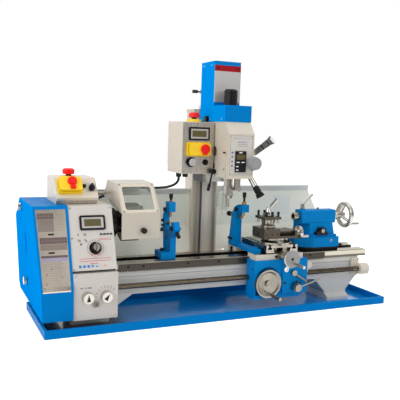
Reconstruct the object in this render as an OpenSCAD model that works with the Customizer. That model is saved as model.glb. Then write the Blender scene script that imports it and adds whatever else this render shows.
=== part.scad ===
// Benchtop metal lathe with a milling head on a rear column.
// +X runs along the bed towards the tailstock, -Y is the operator's side, +Z is up.
// The origin is on the underside of the chip tray, below the middle of the bed's length,
// in the vertical plane of the lathe spindle. All lengths are in millimetres.

/* [Lathe] */
// height of the lathe spindle axis above the tray's underside
axis_z = 311; // [250:1:360]
// height of the top of the bed ways
bed_top = 186; // [140:1:230]
// half the width of the bed over its ways
bed_hw = 62; // [50:1:80]
// right end of the bed ways
bed_end = 605; // [500:1:610]
// left end of the bed, under the headstock
bed_start = -527; // [-560:1:-480]

/* [Chip tray] */
// length of the tray
tray_l = 1240; // [1100:1:1300]
// front edge of the tray
tray_front = -165; // [-200:1:-150]
// rear edge of the tray
tray_back = 160; // [140:1:200]
// height of the tray's rim
tray_h = 25; // [15:1:40]
// thickness of the tray's sheet
tray_t = 3; // [2:0.5:5]
// width of the lip turned in along the rim
tray_lip = 9; // [6:1:14]

/* [Headstock] */
// left face of the headstock casting and right edge of the gear cover
head_x0 = -530; // [-560:1:-500]
// right face of the headstock casting
head_x1 = -393; // [-420:1:-360]
// top of the headstock casting
head_top = 372; // [340:1:400]
// rear face of the headstock casting
head_back = 150; // [120:1:170]
// radius of the spindle where it runs in the headstock
spindle_r = 30; // [20:0.5:36]
// radius of the chuck
chuck_r = 62; // [50:1:64]

/* [Carriage] */
// left edge of the saddle
saddle_x0 = 96; // [90:1:120]
// right edge of the saddle
saddle_x1 = 285; // [270:1:300]
// front edge of the saddle
saddle_front = -115; // [-120:1:-105]
// top of the saddle
saddle_top = 200; // [196:1:206]
// left edge of the cross slide
cross_x0 = 136; // [130:1:140]
// right edge of the cross slide
cross_x1 = 261; // [255:1:270]
// top of the cross slide
cross_top = 230; // [226:1:236]
// middle of the compound across the bed
comp_y = -62; // [-66:1:-58]

/* [Tailstock] */
// left end of the tailstock barrel
tail_x0 = 336; // [330:1:350]
// right end of the tailstock barrel
tail_x1 = 485; // [470:1:500]
// radius of the tailstock barrel
tail_r = 24; // [22:1:30]
// radius of the tailstock handwheel
tail_wheel_r = 50; // [40:1:56]

/* [Milling head] */
// axis of the milling spindle, along the bed
mill_x = 38.5; // [30:0.5:50]
// underside of the milling head
mill_z0 = 457; // [440:1:480]
// top of the head casting
mill_z1 = 646; // [630:1:660]
// front of the head casting
mill_front = -88; // [-96:1:-80]
// top of the column
column_top = 692; // [660:1:720]

/* [Fits] */
// clearance between a shaft and its bore, on the radius
fit = 0.05; // [0.02:0.01:0.1]
// gap left beside a sliding face
slip = 0.1; // [0.05:0.05:0.5]

/* [Hidden] */
$fn = 40;
blue = [0.02, 0.42, 0.80];
cream = [0.86, 0.85, 0.80];
steel = [0.70, 0.69, 0.66];
dark = [0.25, 0.24, 0.23];
black = [0.06, 0.06, 0.06];
bronze = [0.70, 0.50, 0.22];
chrome = [0.82, 0.81, 0.79];
red = [0.80, 0.05, 0.05];
yellow = [0.95, 0.80, 0.05];
guard_col = [0.80, 0.84, 0.78];
clear = [0.80, 0.86, 0.88, 0.4];
// headstock panel: it leans back from (panel_y, panel_z) by panel_a
panel_y = -120;
panel_z = 181;
panel_a = 21.6;
panel_len = 206;
panel_w = head_x1 - head_x0;
// apron
apron_x0 = 88;
apron_x1 = 300;
apron_front = -125;
apron_back = -bed_hw - 7;
apron_z0 = 47;
apron_z1 = 180;
screw_y = -bed_hw - 18;
screw_z = 117;
screw_r = 9;
wheel_x = 138;
wheel_z = 102;
half_x = 238;
half_z = 134;
feed_x = 245;
feed_z = 85;
cross_wheel_x = 196;
cross_wheel_z = 195;
comp_x0 = 132;
comp_x1 = 258;
swivel_x = 196;
post_x = 169;
top_wheel_z = 262;
// tailstock
tail_front = -40;
tail_rear = 58;
// steady rest: middle of its ring along the bed, and the ring's radii
steady_x = -174;
ring_in = 33;
ring_out = 46;
// chuck: rear and front faces
chuck_x0 = -348;
chuck_x1 = -290;
// guard hinge
hinge_y = 128;
hinge_z = 392;
guard_x0 = -365;
guard_x1 = -238;
// control box on the headstock: foot of its leaning front, the lean, and its top
cbox_y = -15;
cbox_z = 393;
cbox_a = 38;
cbox_top = 452;
// milling side
col_x0 = -7;
col_x1 = 98;
hub_x = 86;
hub_y = 5;
hub_z = 508;
fine_x = 76;
fine_z = 510;
box_x0 = -131;
box_x1 = -9;
box_y = 20;
box_z0 = 466;
box_z1 = 642;
// motor cover above the milling head
cover_step = 701;
cover_top = 853;
cover_back = 145;
cover_r = 3;
mill_stop_x = -72;
shield_px = 2;
shield_py = -45;
lever_y = 6;
lever_z = 475;

// ---------- helpers ----------
module box(x0, x1, y0, y1, z0, z1) translate([x0, y0, z0]) cube([x1 - x0, y1 - y0, z1 - z0]);
module cyl_x(x0, x1, y, z, r, r2 = -1)
  translate([x0, y, z]) rotate([0, 90, 0]) cylinder(r1 = r, r2 = r2 < 0 ? r : r2, h = x1 - x0);
// runs from the rear y1 to the front y0
module cyl_y(y0, y1, x, z, r, r2 = -1)
  translate([x, y1, z]) rotate([90, 0, 0]) cylinder(r1 = r, r2 = r2 < 0 ? r : r2, h = y1 - y0);
module cyl_z(z0, z1, x, y, r, r2 = -1)
  translate([x, y, z0]) cylinder(r1 = r, r2 = r2 < 0 ? r : r2, h = z1 - z0);
// profile in the YZ plane, carried along X
module slab_x(x0, x1) translate([x0, 0, 0]) rotate([90, 0, 90]) linear_extrude(x1 - x0) children();
// profile in the XZ plane, carried along Y
module slab_y(y0, y1) translate([0, y1, 0]) rotate([90, 0, 0]) linear_extrude(y1 - y0) children();
module slab_z(z0, z1) translate([0, 0, z0]) linear_extrude(z1 - z0) children();
// round bar between two points, with the second radius at its far end
module bar(a, b, r, r2 = -1) {
  v = b - a;
  len = norm(v);
  translate(a) rotate([0, acos(v[2] / len), atan2(v[1], v[0])])
    cylinder(r1 = r, r2 = r2 < 0 ? r : r2, h = len);
}
module round_rect(x0, x1, y0, y1, r)
  translate([x0 + r, y0 + r]) offset(r = r, $fn = 24) square([x1 - x0 - 2 * r, y1 - y0 - 2 * r]);
// moves children to the leaning headstock panel: X along the lathe, Z up the slope, -Y out of it
module on_panel() translate([0, panel_y, panel_z]) rotate([-panel_a, 0, 0]) children();
// moves children to the control box's leaning front, in the same way
module on_box() translate([0, cbox_y, cbox_z]) rotate([-cbox_a, 0, 0]) children();
// dish handwheel facing the operator, with a handle at angle a
module dish_wheel(x, z, y_face, r, hub_r, shaft_end, shaft_r, a, grip) {
  difference() {
    cyl_y(y_face, y_face + 10, x, z, r);
    cyl_y(y_face - 1, y_face + 5, x, z, r - 12, r - 5);
  }
  cyl_y(y_face - 2, y_face + 6, x, z, hub_r);
  cyl_y(y_face + 5, shaft_end, x, z, shaft_r);
  hx = x + (r - 7) * cos(a);
  hz = z + (r - 7) * sin(a);
  cyl_y(y_face - grip, y_face + 4, hx, hz, 3.5, 4.5);
  cyl_y(y_face - grip, y_face - 4, hx, hz, 5.5);
}

// ---------- base ----------
module chip_tray() color(blue) difference() {
  union() {
    box(-tray_l / 2, tray_l / 2, tray_front, tray_back, 0, tray_h);
  }
  box(-tray_l / 2 + tray_t, tray_l / 2 - tray_t, tray_front + tray_t, tray_back - tray_t,
    tray_t, tray_h - tray_t);
  box(-tray_l / 2 + tray_lip, tray_l / 2 - tray_lip, tray_front + tray_lip, tray_back - tray_lip,
    tray_t, tray_h + 1);
  for (x = [-470, 478], y = [-40, 40]) cyl_z(-1, tray_t + 1, x, y, 6.5);
}

module bed() difference() {
  bed_body();
  for (x = [-470, 478], y = [-40, 40]) cyl_z(0, 40, x, y, 6.5);
}
module bed_body() {
  color(steel) for (s = [0, 1]) difference() {
    slab_x(bed_start, bed_end) polygon(s == 0
      ? [[-bed_hw, 162], [-bed_hw, 184], [-bed_hw + 2, bed_top], [-20, bed_top], [-18, 184], [-18, 158]]
      : [[24, 158], [24, 184], [26, bed_top], [bed_hw - 2, bed_top], [bed_hw, 184], [bed_hw, 162]]);
  }
  color(cream) {
    difference() {
      slab_x(bed_start, 575) polygon([[6 - bed_hw, 84], [6 - bed_hw, 108], [10 - bed_hw, 112],
        [10 - bed_hw, 140], [6 - bed_hw, 144], [6 - bed_hw, 160], [bed_hw - 6, 160], [bed_hw - 6, 84]]);
      for (i = [0 : 7]) box(-372 + i * 116, -372 + i * 116 + 100, -18, 24, 90, 161);
    }
    // left foot under the headstock
    slab_y(2 - bed_hw, bed_hw - 2) polygon([[-520, tray_t], [-400, tray_t], [-392, 40], [-324, 84], [-324, 90],
      [-520, 90]]);
    // right foot and its flange
    difference() {
      slab_y(12 - bed_hw, bed_hw - 6) polygon([[445, 18], [528, 18], [532, 34], [575, 84], [575, 110], [380, 110],
        [380, 84], [398, 70]]);
      for (y = [-24, 32]) cyl_z(60, 90, 410, y, 0.5);
    }
    slab_x(430, 525) polygon([[-13 - bed_hw, tray_t], [-13 - bed_hw, 14], [-4 - bed_hw, 20],
      [12 - bed_hw, 28], [bed_hw - 6, 28], [bed_hw - 2, 20], [bed_hw + 4, 14], [bed_hw + 4, tray_t]]);
  }
  color(steel) slab_z(bed_top, bed_top + 7) round_rect(556, 600, 28, 56, 12);
}

module gear_rack() color(dark) difference() {
  slab_y(-bed_hw - 6, -bed_hw) polygon(concat([[-372, 184], [-372, 164]],
    [for (i = [0 : 77], k = [0 : 3]) [-370 + i * 10 + [0, 2, 5, 7][k], 164 - [0, 4, 4, 0][k]]],
    [[414, 164], [414, 184]]));
  for (x = [-340, -290, -134, -20, 60, 75, 350]) cyl_y(-bed_hw - 7, -bed_hw - 2, x, 176, 4);
}

module screw_bracket() color(cream) difference() {
  union() {
    slab_y(-bed_hw - 2, 6 - bed_hw) round_rect(542, 575, 90, 155, 5);
    slab_x(560, 598) translate([screw_y - 16, screw_z - 19]) union() {
      square([40, 28]);
      translate([16, 19]) circle(r = 20);
    }
  }
  cyl_x(541, 597, screw_y, screw_z, screw_r + fit);
  for (p = [[550, 148], [568, 148], [550, 96], [568, 96]]) cyl_y(-bed_hw - 3, 1 - bed_hw, p[0], p[1], 3);
}

module headstock() color(cream) difference() {
  union() {
    slab_x(head_x0, head_x1) polygon([[-114.6, bed_top], [-40.8, head_top], [head_back, head_top],
      [head_back, bed_top]]);
    // hinge carrier for the chuck guard
    slab_x(-401, head_x1) polygon([[104, head_top - 20], [hinge_y - 12, hinge_z + 9],
      [hinge_y + 12, hinge_z + 9], [148, head_top - 20]]);
    cyl_x(head_x1 - 4, guard_x1 - 3, hinge_y, hinge_z, 5);
    // bearing boss behind the chuck
    cyl_x(head_x1 - 1, head_x1 + 4, 0, axis_z, 48);
    // gland for the milling head's lead
    cyl_y(head_back - 1, head_back + 8, -430, 345, 9);
  }
  cyl_x(-515, head_x1 + 5, 0, axis_z, spindle_r + fit);
  on_panel() translate([-455, 0, 72]) rotate([-90, 0, 0]) cylinder(r = 9, h = 24);
}

// YZ outline of the gear cover, shrunk by d
module cover_outline(d) offset(delta = -d)
  polygon([[-46, 373], [-139, 140], [-139, 42], [292, 42], [310, 60], [310, 300], [200, 373]]);

module gear_cover() color(blue) difference() {
  union() {
    difference() {
      slab_x(-660, head_x0) cover_outline(0);
      slab_x(-661, head_x0 + 1) cover_outline(3);
    }
    intersection() {
      slab_x(-660, head_x0) cover_outline(0);
      translate([-621, 0, 42]) rotate([0, -2.8, 0]) translate([0, -400, -100]) cube([3, 900, 600]);
    }
    // raised crescent on the outer face
    intersection() {
      translate([-621, 0, 42]) rotate([0, -2.8, 0]) translate([-2.5, 0, 0])
        cube([3, 300, 400]);
      slab_x(-660, -600) intersection() {
        translate([60, 232]) circle(r = 62);
        translate([160, 232]) circle(r = 62);
      }
    }
  }
  translate([-621, 0, 42]) rotate([0, -2.8, 0]) translate([-62.5, -400, -100]) cube([60, 900, 600]);
  difference() {
    translate([-621, 0, 42]) rotate([0, -2.8, 0]) translate([-60, -400, -100]) cube([60, 900, 600]);
    slab_x(-660, -600) intersection() {
      translate([60, 232]) circle(r = 62);
      translate([160, 232]) circle(r = 62);
    }
  }
  cyl_x(-660, -600, 193, 302, 5);
  cyl_x(-660, -600, 165, 347, 4);
  cyl_x(-660, -600, 116, 110, 4);
}

// YZ positions of the two thumb screws and how far the leaning face is out there
function lean(z) = -621 - (z - 42) * tan(2.8);
module cover_knobs() color(chrome) for (p = [[165, 347], [116, 110]]) {
  x = lean(p[1]);
  cyl_x(x - 12, x - 3, p[0], p[1], 13);
  cyl_x(x - 3, x - 0.8, p[0], p[1], 8);
  cyl_x(x - 1, x + 10, p[0], p[1], 3.9);
}

module control_panel() {
  on_panel() {
    color(cream) difference() {
      translate([head_x0, 0, 0]) cube([panel_w, 3, panel_len]);
      translate([-455, -1, 72]) rotate([-90, 0, 0]) cylinder(r = 5 + fit, h = 5);
      for (x = [head_x0 + 6, head_x1 - 6], z = [8, 104, 198])
        translate([x, -1, z]) rotate([-90, 0, 0]) cylinder(r = 2.5, h = 2.2, $fn = 20);
    }
    color(black) {
      difference() {
        translate([0, 0, 128]) rotate([90, 0, 0]) linear_extrude(4) round_rect(-498, -418, 0, 46, 5);
        translate([-492, -5, 134]) cube([68, 3, 34]);
      }
      for (i = [0 : 3]) translate([-438 + i * 10.5, 0, 112]) rotate([90, 0, 0])
        linear_extrude(2) round_rect(0, 8, 0, 4.5, 1.5);
    }
    color([0.45, 0.45, 0.25]) translate([-484, -3.5, 140]) cube([52, 1.5, 22]);
  }
}

module gearbox() {
  color(cream) difference() {
    box(head_x0, head_x1, -132, -bed_hw, 37, 178);
    for (x = [-487, -430]) cyl_y(-133, -112, x, 106, 5 + fit);
    cyl_x(-430, head_x1 + 1, screw_y, screw_z, screw_r + fit);
    for (x = [head_x0 + 7, head_x1 - 7], z = [44, 171]) cyl_y(-133, -130, x, z, 3, $fn = 20);
    cyl_y(-133, -128, -461, 84, 11);
  }
  color(chrome) difference() {
    cyl_y(-135, -128, -461, 84, 11);
    cyl_y(-136, -130, -461, 84, 7);
  }
  color([0.55, 0.45, 0.30]) cyl_y(-132, -129, -461, 84, 7);
}

module control_box() {
  color(cream) difference() {
    slab_x(-556, -426) polygon([[cbox_y, cbox_z], [cbox_y + 5, cbox_z - 8], [2, cbox_z - 12], [2, head_top + 1],
      [head_back, head_top + 1], [head_back, cbox_top],
      [cbox_y + (cbox_top - cbox_z) * tan(cbox_a), cbox_top]]);
    on_box() translate([-443, -3, 36]) rotate([-90, 0, 0]) cylinder(r = 4 + fit, h = 20);
    cyl_z(cbox_top - 12, cbox_top + 1, -505, 62, 9 + fit);
  }
  color(cream) box(-526, -404, 8, head_back - 6, head_top, head_top + 1);
  on_box() {
    color(yellow) difference() {
      translate([0, 1, 13]) rotate([90, 0, 0]) linear_extrude(13) round_rect(-552, -475, 0, 54, 7);
      translate([-545, -13, 22]) cube([63, 7, 36]);
    }
    color(black) translate([-524, -10, 28]) cube([22, 5, 24]);
    color(black) translate([-467, 1, 42]) rotate([90, 0, 0]) cylinder(r = 6, h = 7);
    color(chrome) difference() {
      translate([-459, -1.5, 23]) cube([31, 2.5, 30]);
      translate([-443, -3, 36]) rotate([-90, 0, 0]) cylinder(r = 4 + fit, h = 5);
    }
  }
  color(yellow) difference() {
    cyl_z(cbox_top, cbox_top + 4.5, -505, 62, 28, 26);
    cyl_z(cbox_top - 12, cbox_top + 5, -505, 62, 9 + fit);
  }
}

// YZ outline of the splash guard with a folded lip at the top
module splash_outline(top) polygon([[152, 27], [tray_back, 27], [235, 250], [235, top - 23],
  [214, top - 2], [214, top], [237, top], [237, 249], [162, 25], [152, 25]]);

module splash_guard() color(guard_col) difference() {
  union() {
    slab_x(-392, 40) splash_outline(395);
    slab_x(40, 600) splash_outline(404);
  }
  // right end slopes outwards and down
  slab_y(140, 260) polygon([[516, 410], [601, 255], [640, 255], [640, 410]]);
  // opening for the column and its foot
  box(-66, 136, 140, 260, 20, 160);
  box(col_x0 - 3, col_x1 + 3, 140, 260, 150, 410);
}

module column() {
  color(cream) {
    difference() {
      box(col_x0, col_x1, 205, 275, 150, column_top - 8);
      box(col_x0 + 12, col_x1 - 12, 217, 276, 150, column_top - 30);
      cyl_z(column_top - 60, column_top + 1, mill_x, 238, 8 + fit);
    }
    box(col_x0, col_x1, 205, 212, 150, column_top - 8);
    // foot, bolted to the rear of the bed
    difference() {
      slab_x(-60, 130) polygon([[bed_hw - 6, 84], [bed_hw - 6, 150], [278, 150], [278, 110], [150, 84]]);
      for (x = [-48, 118], z = [100, 134]) cyl_y(250, 279, x, z, 6);
    }
    box(-60, 130, 190, 278, 150, 157);
  }
  color(steel) difference() {
    slab_z(157, column_top) polygon([[6, 190], [19, 190], [19, 193], [26, 193], [26, 190], [62, 190],
      [62, 193], [70, 193], [70, 190], [84, 190], [78, 205], [12, 205]]);
  }
  color(cream) difference() {
    box(col_x0 - 2, col_x1 + 2, 205, 277, column_top - 8, column_top);
    cyl_z(column_top - 60, column_top + 1, mill_x, 238, 8 + fit);
  }
}

module drive_motor() color(black) {
  cyl_x(-505, -400, 214, 236, 56);
  for (i = [0 : 5]) cyl_x(-495 + i * 15, -490 + i * 15, 214, 236, 60);
  box(-490, -415, head_back, 200, 196, 276);
  box(-480, -430, 196, 236, 288, 312);
}

// ---------- lathe spindle ----------
module spindle() color(steel) difference() {
  union() {
    cyl_x(-515, head_x1 + 5, 0, axis_z, spindle_r);
    cyl_x(head_x1 + 4.3, guard_x0 - 6, 0, axis_z, 46);
    cyl_x(guard_x0 - 7, chuck_x0, 0, axis_z, 36);
  }
  cyl_x(-516, chuck_x0 + 1, 0, axis_z, 13);
}

module chuck() color(steel) difference() {
  union() {
    cyl_x(chuck_x0, chuck_x0 + 2, 0, axis_z, chuck_r - 4);
    cyl_x(chuck_x0 + 2, chuck_x1 - 4, 0, axis_z, chuck_r);
    cyl_x(chuck_x1 - 4, chuck_x1, 0, axis_z, chuck_r, chuck_r - 4);
  }
  cyl_x(chuck_x0 - 1, chuck_x1 + 1, 0, axis_z, 16);
  for (a = [90, 210, 330]) translate([0, 0, axis_z]) rotate([a, 0, 0]) {
    translate([chuck_x1 - 8, 14, -8]) cube([10, 50, 16]);
    translate([chuck_x1 - 30, 40, 0]) rotate([-90, 0, 0]) cylinder(r = 5, h = 30, $fn = 20);
  }
}

module chuck_jaws() color(chrome) for (a = [90, 210, 330])
  translate([chuck_x1, 0, axis_z]) rotate([a, 0, 0]) {
    translate([-8, 18, -8]) cube([22, 34, 16]);
    translate([12, 18, -6]) cube([9, 22, 12]);
    translate([20, 18, -6]) cube([8, 11, 12]);
  }

module lead_screw() color(chrome) {
  cyl_x(-426, 592, screw_y, screw_z, screw_r);
}

// ---------- chuck guard ----------
module guard_outline() polygon([[106, 440], [0, 436], [-70, 347], [-70, 265], [-67, 265], [-67, 346],
  [1, 433], [106, 437]]);
// moves children to the guard's sloping face: Z up the slope, -Y outwards
module on_guard() translate([0, -70, 347]) rotate([-atan2(70, 89), 0, 0]) children();

module chuck_guard() {
  color(cream) difference() {
    union() {
      slab_x(guard_x0, guard_x1) guard_outline();
      slab_x(guard_x0, guard_x0 + 3) polygon([[106, 440], [0, 436], [-70, 347], [-70, 265], [-66, 265],
        [-66, 346], [-20, 353], [40, 360], [90, 378], [118, 381], [hinge_y + 9, 382], [hinge_y + 12, hinge_z],
        [hinge_y + 8, hinge_z + 9], [112, 420]]);
      slab_x(guard_x1 - 3, guard_x1) polygon([[106, 440], [0, 436], [-70, 347], [-70, 265], [-56, 265],
        [-56, 330], [10, 400], [106, 420]]);
      cyl_x(guard_x0, guard_x1 - 4, hinge_y, hinge_z, 9);
      slab_x(guard_x0, guard_x1 - 4) polygon([[102, 436], [106, 440], [hinge_y + 3, hinge_z + 4],
        [hinge_y - 1, hinge_z + 4]]);
    }
    cyl_x(head_x1 - 5, guard_x1 - 3 + slip, hinge_y, hinge_z, 5 + fit);
    on_guard() translate([0, 10, 0]) rotate([90, 0, 0]) linear_extrude(20)
      round_rect(-352, -252, 11, 102, 9);
  }
  color(black) {
    cyl_y(-74, -70, -295, 293, 5);
    cyl_y(-86, -74, -295, 293, 9);
  }
}

module guard_window() color(clear) {
  on_guard() translate([0, 3, 0]) rotate([90, 0, 0]) linear_extrude(3 + 2 * slip)
    round_rect(-352 + slip, -252 - slip, 11 + slip, 102 - slip, 9);
  // trim and its screws, on the outer face
  on_guard() translate([0, -slip, 0]) rotate([90, 0, 0]) {
    for (x = [-357, -247], z = [7, 107]) translate([x, z, 0]) cylinder(r = 3.4, h = 2, $fn = 20);
    linear_extrude(0.8) difference() {
      round_rect(-361, -243, 3, 111, 8);
      round_rect(-350, -254, 13, 100, 8);
    }
  }
}

// ---------- headstock controls ----------
module speed_dial() on_panel() translate([-455, 0, 72]) rotate([90, 0, 0]) {
  color(black) {
    cylinder(r = 19, h = 3);
    cylinder(r = 15, h = 14);
  }
  color(chrome) cylinder(r1 = 12, r2 = 11, h = 18);
  color(chrome) translate([-2, -14, 3]) cube([4, 28, 18]);
  color(steel) translate([0, 0, -20]) cylinder(r = 5, h = 21);
}

module selector(x) {
  color(chrome) {
    cyl_y(-150, -132 - slip, x, 106, 18, 16);
    cyl_y(-134, -114, x, 106, 5);
  }
  color(black) slab_y(-151.5, -149) translate([x, 106]) polygon([[-6, -9], [6, -9], [0, 11]]);
}
module selector_left() selector(-487);
module selector_right() translate([-430, 0, 106]) rotate([0, 35, 0]) translate([430, 0, -106])
  selector(-430);

module direction_knob() on_box() translate([-443, 0, 36]) rotate([90, 0, 0]) {
  color(black) {
    translate([0, 0, 1.5]) cylinder(r = 10, h = 5);
    translate([-3, -9, 1.5]) cube([6, 18, 14]);
  }
  color(steel) translate([0, 0, -15]) cylinder(r = 4, h = 17);
}

module stop_button() {
  color(red) {
    cyl_z(cbox_top + 10, cbox_top + 23, -505, 62, 18, 20);
    cyl_z(cbox_top + 23, cbox_top + 28, -505, 62, 20, 14);
  }
  color(black) cyl_z(cbox_top - 6, cbox_top + 11, -505, 62, 9);
}

module switch_flap() on_box() {
  color(yellow) {
    translate([0, -17, 16]) rotate([90, 0, 0]) linear_extrude(7) round_rect(-549, -478, 0, 47, 6);
    cyl_x(-541, -486, -15, 61, 2.9);
  }
  color(red) {
    translate([-508, -24, 47]) rotate([90, 0, 0]) cylinder(r1 = 15, r2 = 13, h = 8);
    translate([-516, -30, 19]) cube([16, 6, 26]);
  }
}

// ---------- carriage ----------
module saddle() {
  color(cream) difference() {
    union() {
      box(saddle_x0, saddle_x1, saddle_front, -58, bed_top, saddle_top);
      box(saddle_x0, saddle_x1, saddle_front, -bed_hw - 8, apron_z1, bed_top);
      box(150, 248, -58, 96, bed_top, saddle_top);
      box(saddle_x0, saddle_x1, 30, 96, bed_top, saddle_top);
      box(saddle_x0, saddle_x1, bed_hw + 0.5, 96, 166, bed_top);
    }
    for (x = [saddle_x0 + 12, saddle_x1 - 12], y = [-104, -88])
      cyl_z(saddle_top - 6, saddle_top + 1, x, y, 4);
    cyl_y(saddle_front - 1, -40, cross_wheel_x, cross_wheel_z, 5 + fit);
  }
  // dovetail for the cross slide
  color(steel) difference() {
    slab_y(-104, 96) polygon([[170, saddle_top - 2], [163, 221], [234, 221], [227, saddle_top - 2]]);
    box(184, 208, saddle_front - 1, 97, 190, 222);
  }
  color(steel) difference() {
    cyl_y(-120, -103, cross_wheel_x, cross_wheel_z, 15);
    cyl_y(saddle_front - 6, -40, cross_wheel_x, cross_wheel_z, 5 + fit);
  }
  color(black) {
    cyl_y(-119, saddle_front, 176, 190, 5);
    cyl_x(saddle_x0 - 5, saddle_x0 + 1, 62, 192, 6);
  }
}

module apron() {
  color(blue) difference() {
    union() {
      slab_y(apron_front, apron_back) polygon([[apron_x0, apron_z0], [apron_x0, apron_z1],
        [apron_x1, apron_z1], [apron_x1, 100], [282, apron_z0 + 10], [270, apron_z0]]);
      slab_y(apron_front - 6, apron_front) round_rect(196, 296, 62, 176, 4);
    }
    // recess with an arched top around the handwheel
    slab_y(apron_front - 1, apron_front + 12) {
      translate([wheel_x + 2, 112]) circle(r = 46);
      translate([wheel_x - 44, 60]) square([92, 52]);
    }
    cyl_x(apron_x0 - 1, apron_x1 + 1, screw_y, screw_z, screw_r + fit);
    cyl_y(apron_front - 1, -95, wheel_x, wheel_z, 7 + fit);
    cyl_y(apron_front - 7, -100, half_x, half_z, 5 + fit);
    cyl_y(apron_front - 7, -100, feed_x, feed_z, 7 + fit);
    cyl_x(apron_x0 - 1, apron_x0 + 4, -112, 150, 5);
  }
  color(blue) difference() {
    cyl_y(-124, -112, wheel_x, wheel_z, 16);
    cyl_y(-125, -95, wheel_x, wheel_z, 7 + fit);
  }
  color(chrome) difference() {
    cyl_y(-134, -131, 209, 147, 9);
    cyl_y(-135, -132, 209, 147, 6);
  }
  color(black) for (p = [[203, 164], [222, 163], [205, 100], [268, 96]])
    cyl_y(-133, -131, p[0], p[1], 3.5, $fn = 20);
  // thread dial and its block on the right end
  color(cream) {
    box(apron_x1, 316, -108, -92, 128, 160);
    cyl_y(-122, -92, 309, 155, 13);
  }
}

module follow_rest() {
  color(blue) difference() {
    union() {
      box(98, 128, -92, 92, saddle_top, 214);
      cyl_z(214, 222, 113, -78, 10);
      slab_x(92, 118) polygon([[88, 206], [34, 206], [36, 240], [38, 296], [34, 326], [14, 332],
        [-14, 332], [-14, 358], [16, 358], [46, 346], [66, 322], [80, 240]]);
    }
    cyl_z(330, 360, 105, 0, 4.5 + fit);
    cyl_y(20, 100, 105, 312, 4.5 + fit);
    box(91, 98, 30, 92, 200, 206);
  }
  color(black) {
    cyl_z(222, 226, 113, -78, 6);
    for (y = [60, 78]) cyl_x(86, 92, y, 228, 4);
    cyl_x(86, 92, 30, 338, 8);
  }
}

// bronze fingers with their screws; one is carried down from the top, one in from the rear
module follow_fingers() {
  color(bronze) {
    cyl_z(322, 366, 105, 0, 4.5);
    cyl_z(318, 322, 105, 0, 3, 4.5);
    cyl_z(358, 368, 105, 0, 8);
    cyl_y(10, 80, 105, 312, 4.5);
    cyl_y(78, 84, 105, 312, 8);
  }
  color(black) {
    cyl_z(368, 384, 105, 0, 4);
    cyl_z(384, 402, 105, 0, 6.5);
    cyl_y(84, 104, 105, 312, 5);
    cyl_y(104, 116, 105, 312, 9);
  }
}

module apron_wheel() color(chrome)
  dish_wheel(wheel_x, wheel_z, -138, 49, 11, -96, 7, -72, 56);

module half_nut_lever() {
  color(chrome) {
    cyl_y(-142, -131, half_x, half_z, 10);
    cyl_y(-132, -102, half_x, half_z, 5);
    bar([half_x + 4, -138, half_z - 3], [284, -141, 104], 3.6);
    translate([284, -141, 104]) sphere(r = 5.5);
  }
}

module feed_lever() {
  color(steel) {
    cyl_y(-152, -131, feed_x, feed_z, 15);
    cyl_y(-132, -102, feed_x, feed_z, 7);
  }
  color(chrome) {
    cyl_y(-160, -152, feed_x, feed_z, 14, 13);
    bar([feed_x + 8, -156, feed_z + 3], [332, -156, 110], 2.8);
  }
  color(black) cyl_z(feed_z + 14, feed_z + 22, feed_x + 2, -144, 4);
}

module cross_slide() color(steel) difference() {
  slab_y(saddle_front, 66) polygon([[cross_x0, 204], [cross_x0, cross_top], [cross_x1, cross_top],
    [cross_x1, 204], [229, 204], [234.2, 221.2], [162.8, 221.2], [168, 204]]);
  for (x = [150, 247]) {
    box(x - 4, x + 4, saddle_front - 1, 67, 220, cross_top + 1);
    box(x - 8, x + 8, saddle_front - 1, 67, 215, 222);
  }
}

module cross_wheel() {
  color(steel) cyl_y(-166, -120, cross_wheel_x, cross_wheel_z, 14.5, 14.5);
  color(chrome) {
    difference() {
      union() {
        cyl_y(-186, -166, cross_wheel_x, cross_wheel_z, 24, 31);
        cyl_y(-188, -186, cross_wheel_x, cross_wheel_z, 31, 29);
      }
      cyl_y(-189, -186, cross_wheel_x, cross_wheel_z, 5);
    }
    cyl_y(-121, -60, cross_wheel_x, cross_wheel_z, 5);
    cyl_y(-240, -187, cross_wheel_x + 12, cross_wheel_z - 18, 3.6, 4.8);
    cyl_y(-240, -196, cross_wheel_x + 12, cross_wheel_z - 18, 5.4);
  }
}

module swivel_base() {
  color(chrome) {
    cyl_z(cross_top, cross_top + 7, swivel_x, comp_y, 60);
    cyl_z(cross_top + 7, cross_top + 12, swivel_x, comp_y, 50, 42);
    cyl_z(cross_top + 11, 251, swivel_x, comp_y, 38);
  }
  color(dark) difference() {
    union() {
      box(comp_x0, comp_x1, comp_y - 40, comp_y + 40, 250, 258);
      slab_x(comp_x0, comp_x1) translate([comp_y, 0]) polygon([[-24, 257], [-30, 275], [30, 275],
        [24, 257]]);
      box(comp_x1, comp_x1 + 10, comp_y - 40, comp_y + 40, 250, 275);
    }
    cyl_x(comp_x0 - 1, comp_x1 + 11, comp_y, top_wheel_z, 6 + fit);
  }
  color(black) for (a = [200, 250, 290, 340])
    translate([swivel_x, comp_y, cross_top + 7]) rotate([0, 0, a]) translate([54, 0, 0])
      cylinder(r = 4, h = 4, $fn = 20);
}

module top_slide() color(dark) difference() {
  slab_x(comp_x0, comp_x0 + 62) translate([comp_y, 0]) polygon([[-42, 258], [-42, 285], [42, 285],
    [42, 258], [24.4, 258], [30.3, 275.2], [-30.3, 275.2], [-24.4, 258]]);
  cyl_z(270, 286, post_x, comp_y, 7 + fit);
  for (x = [comp_x0 + 10, comp_x0 + 31, comp_x0 + 52]) cyl_y(comp_y - 43, comp_y - 38, x, 266, 2.5);
}

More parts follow.
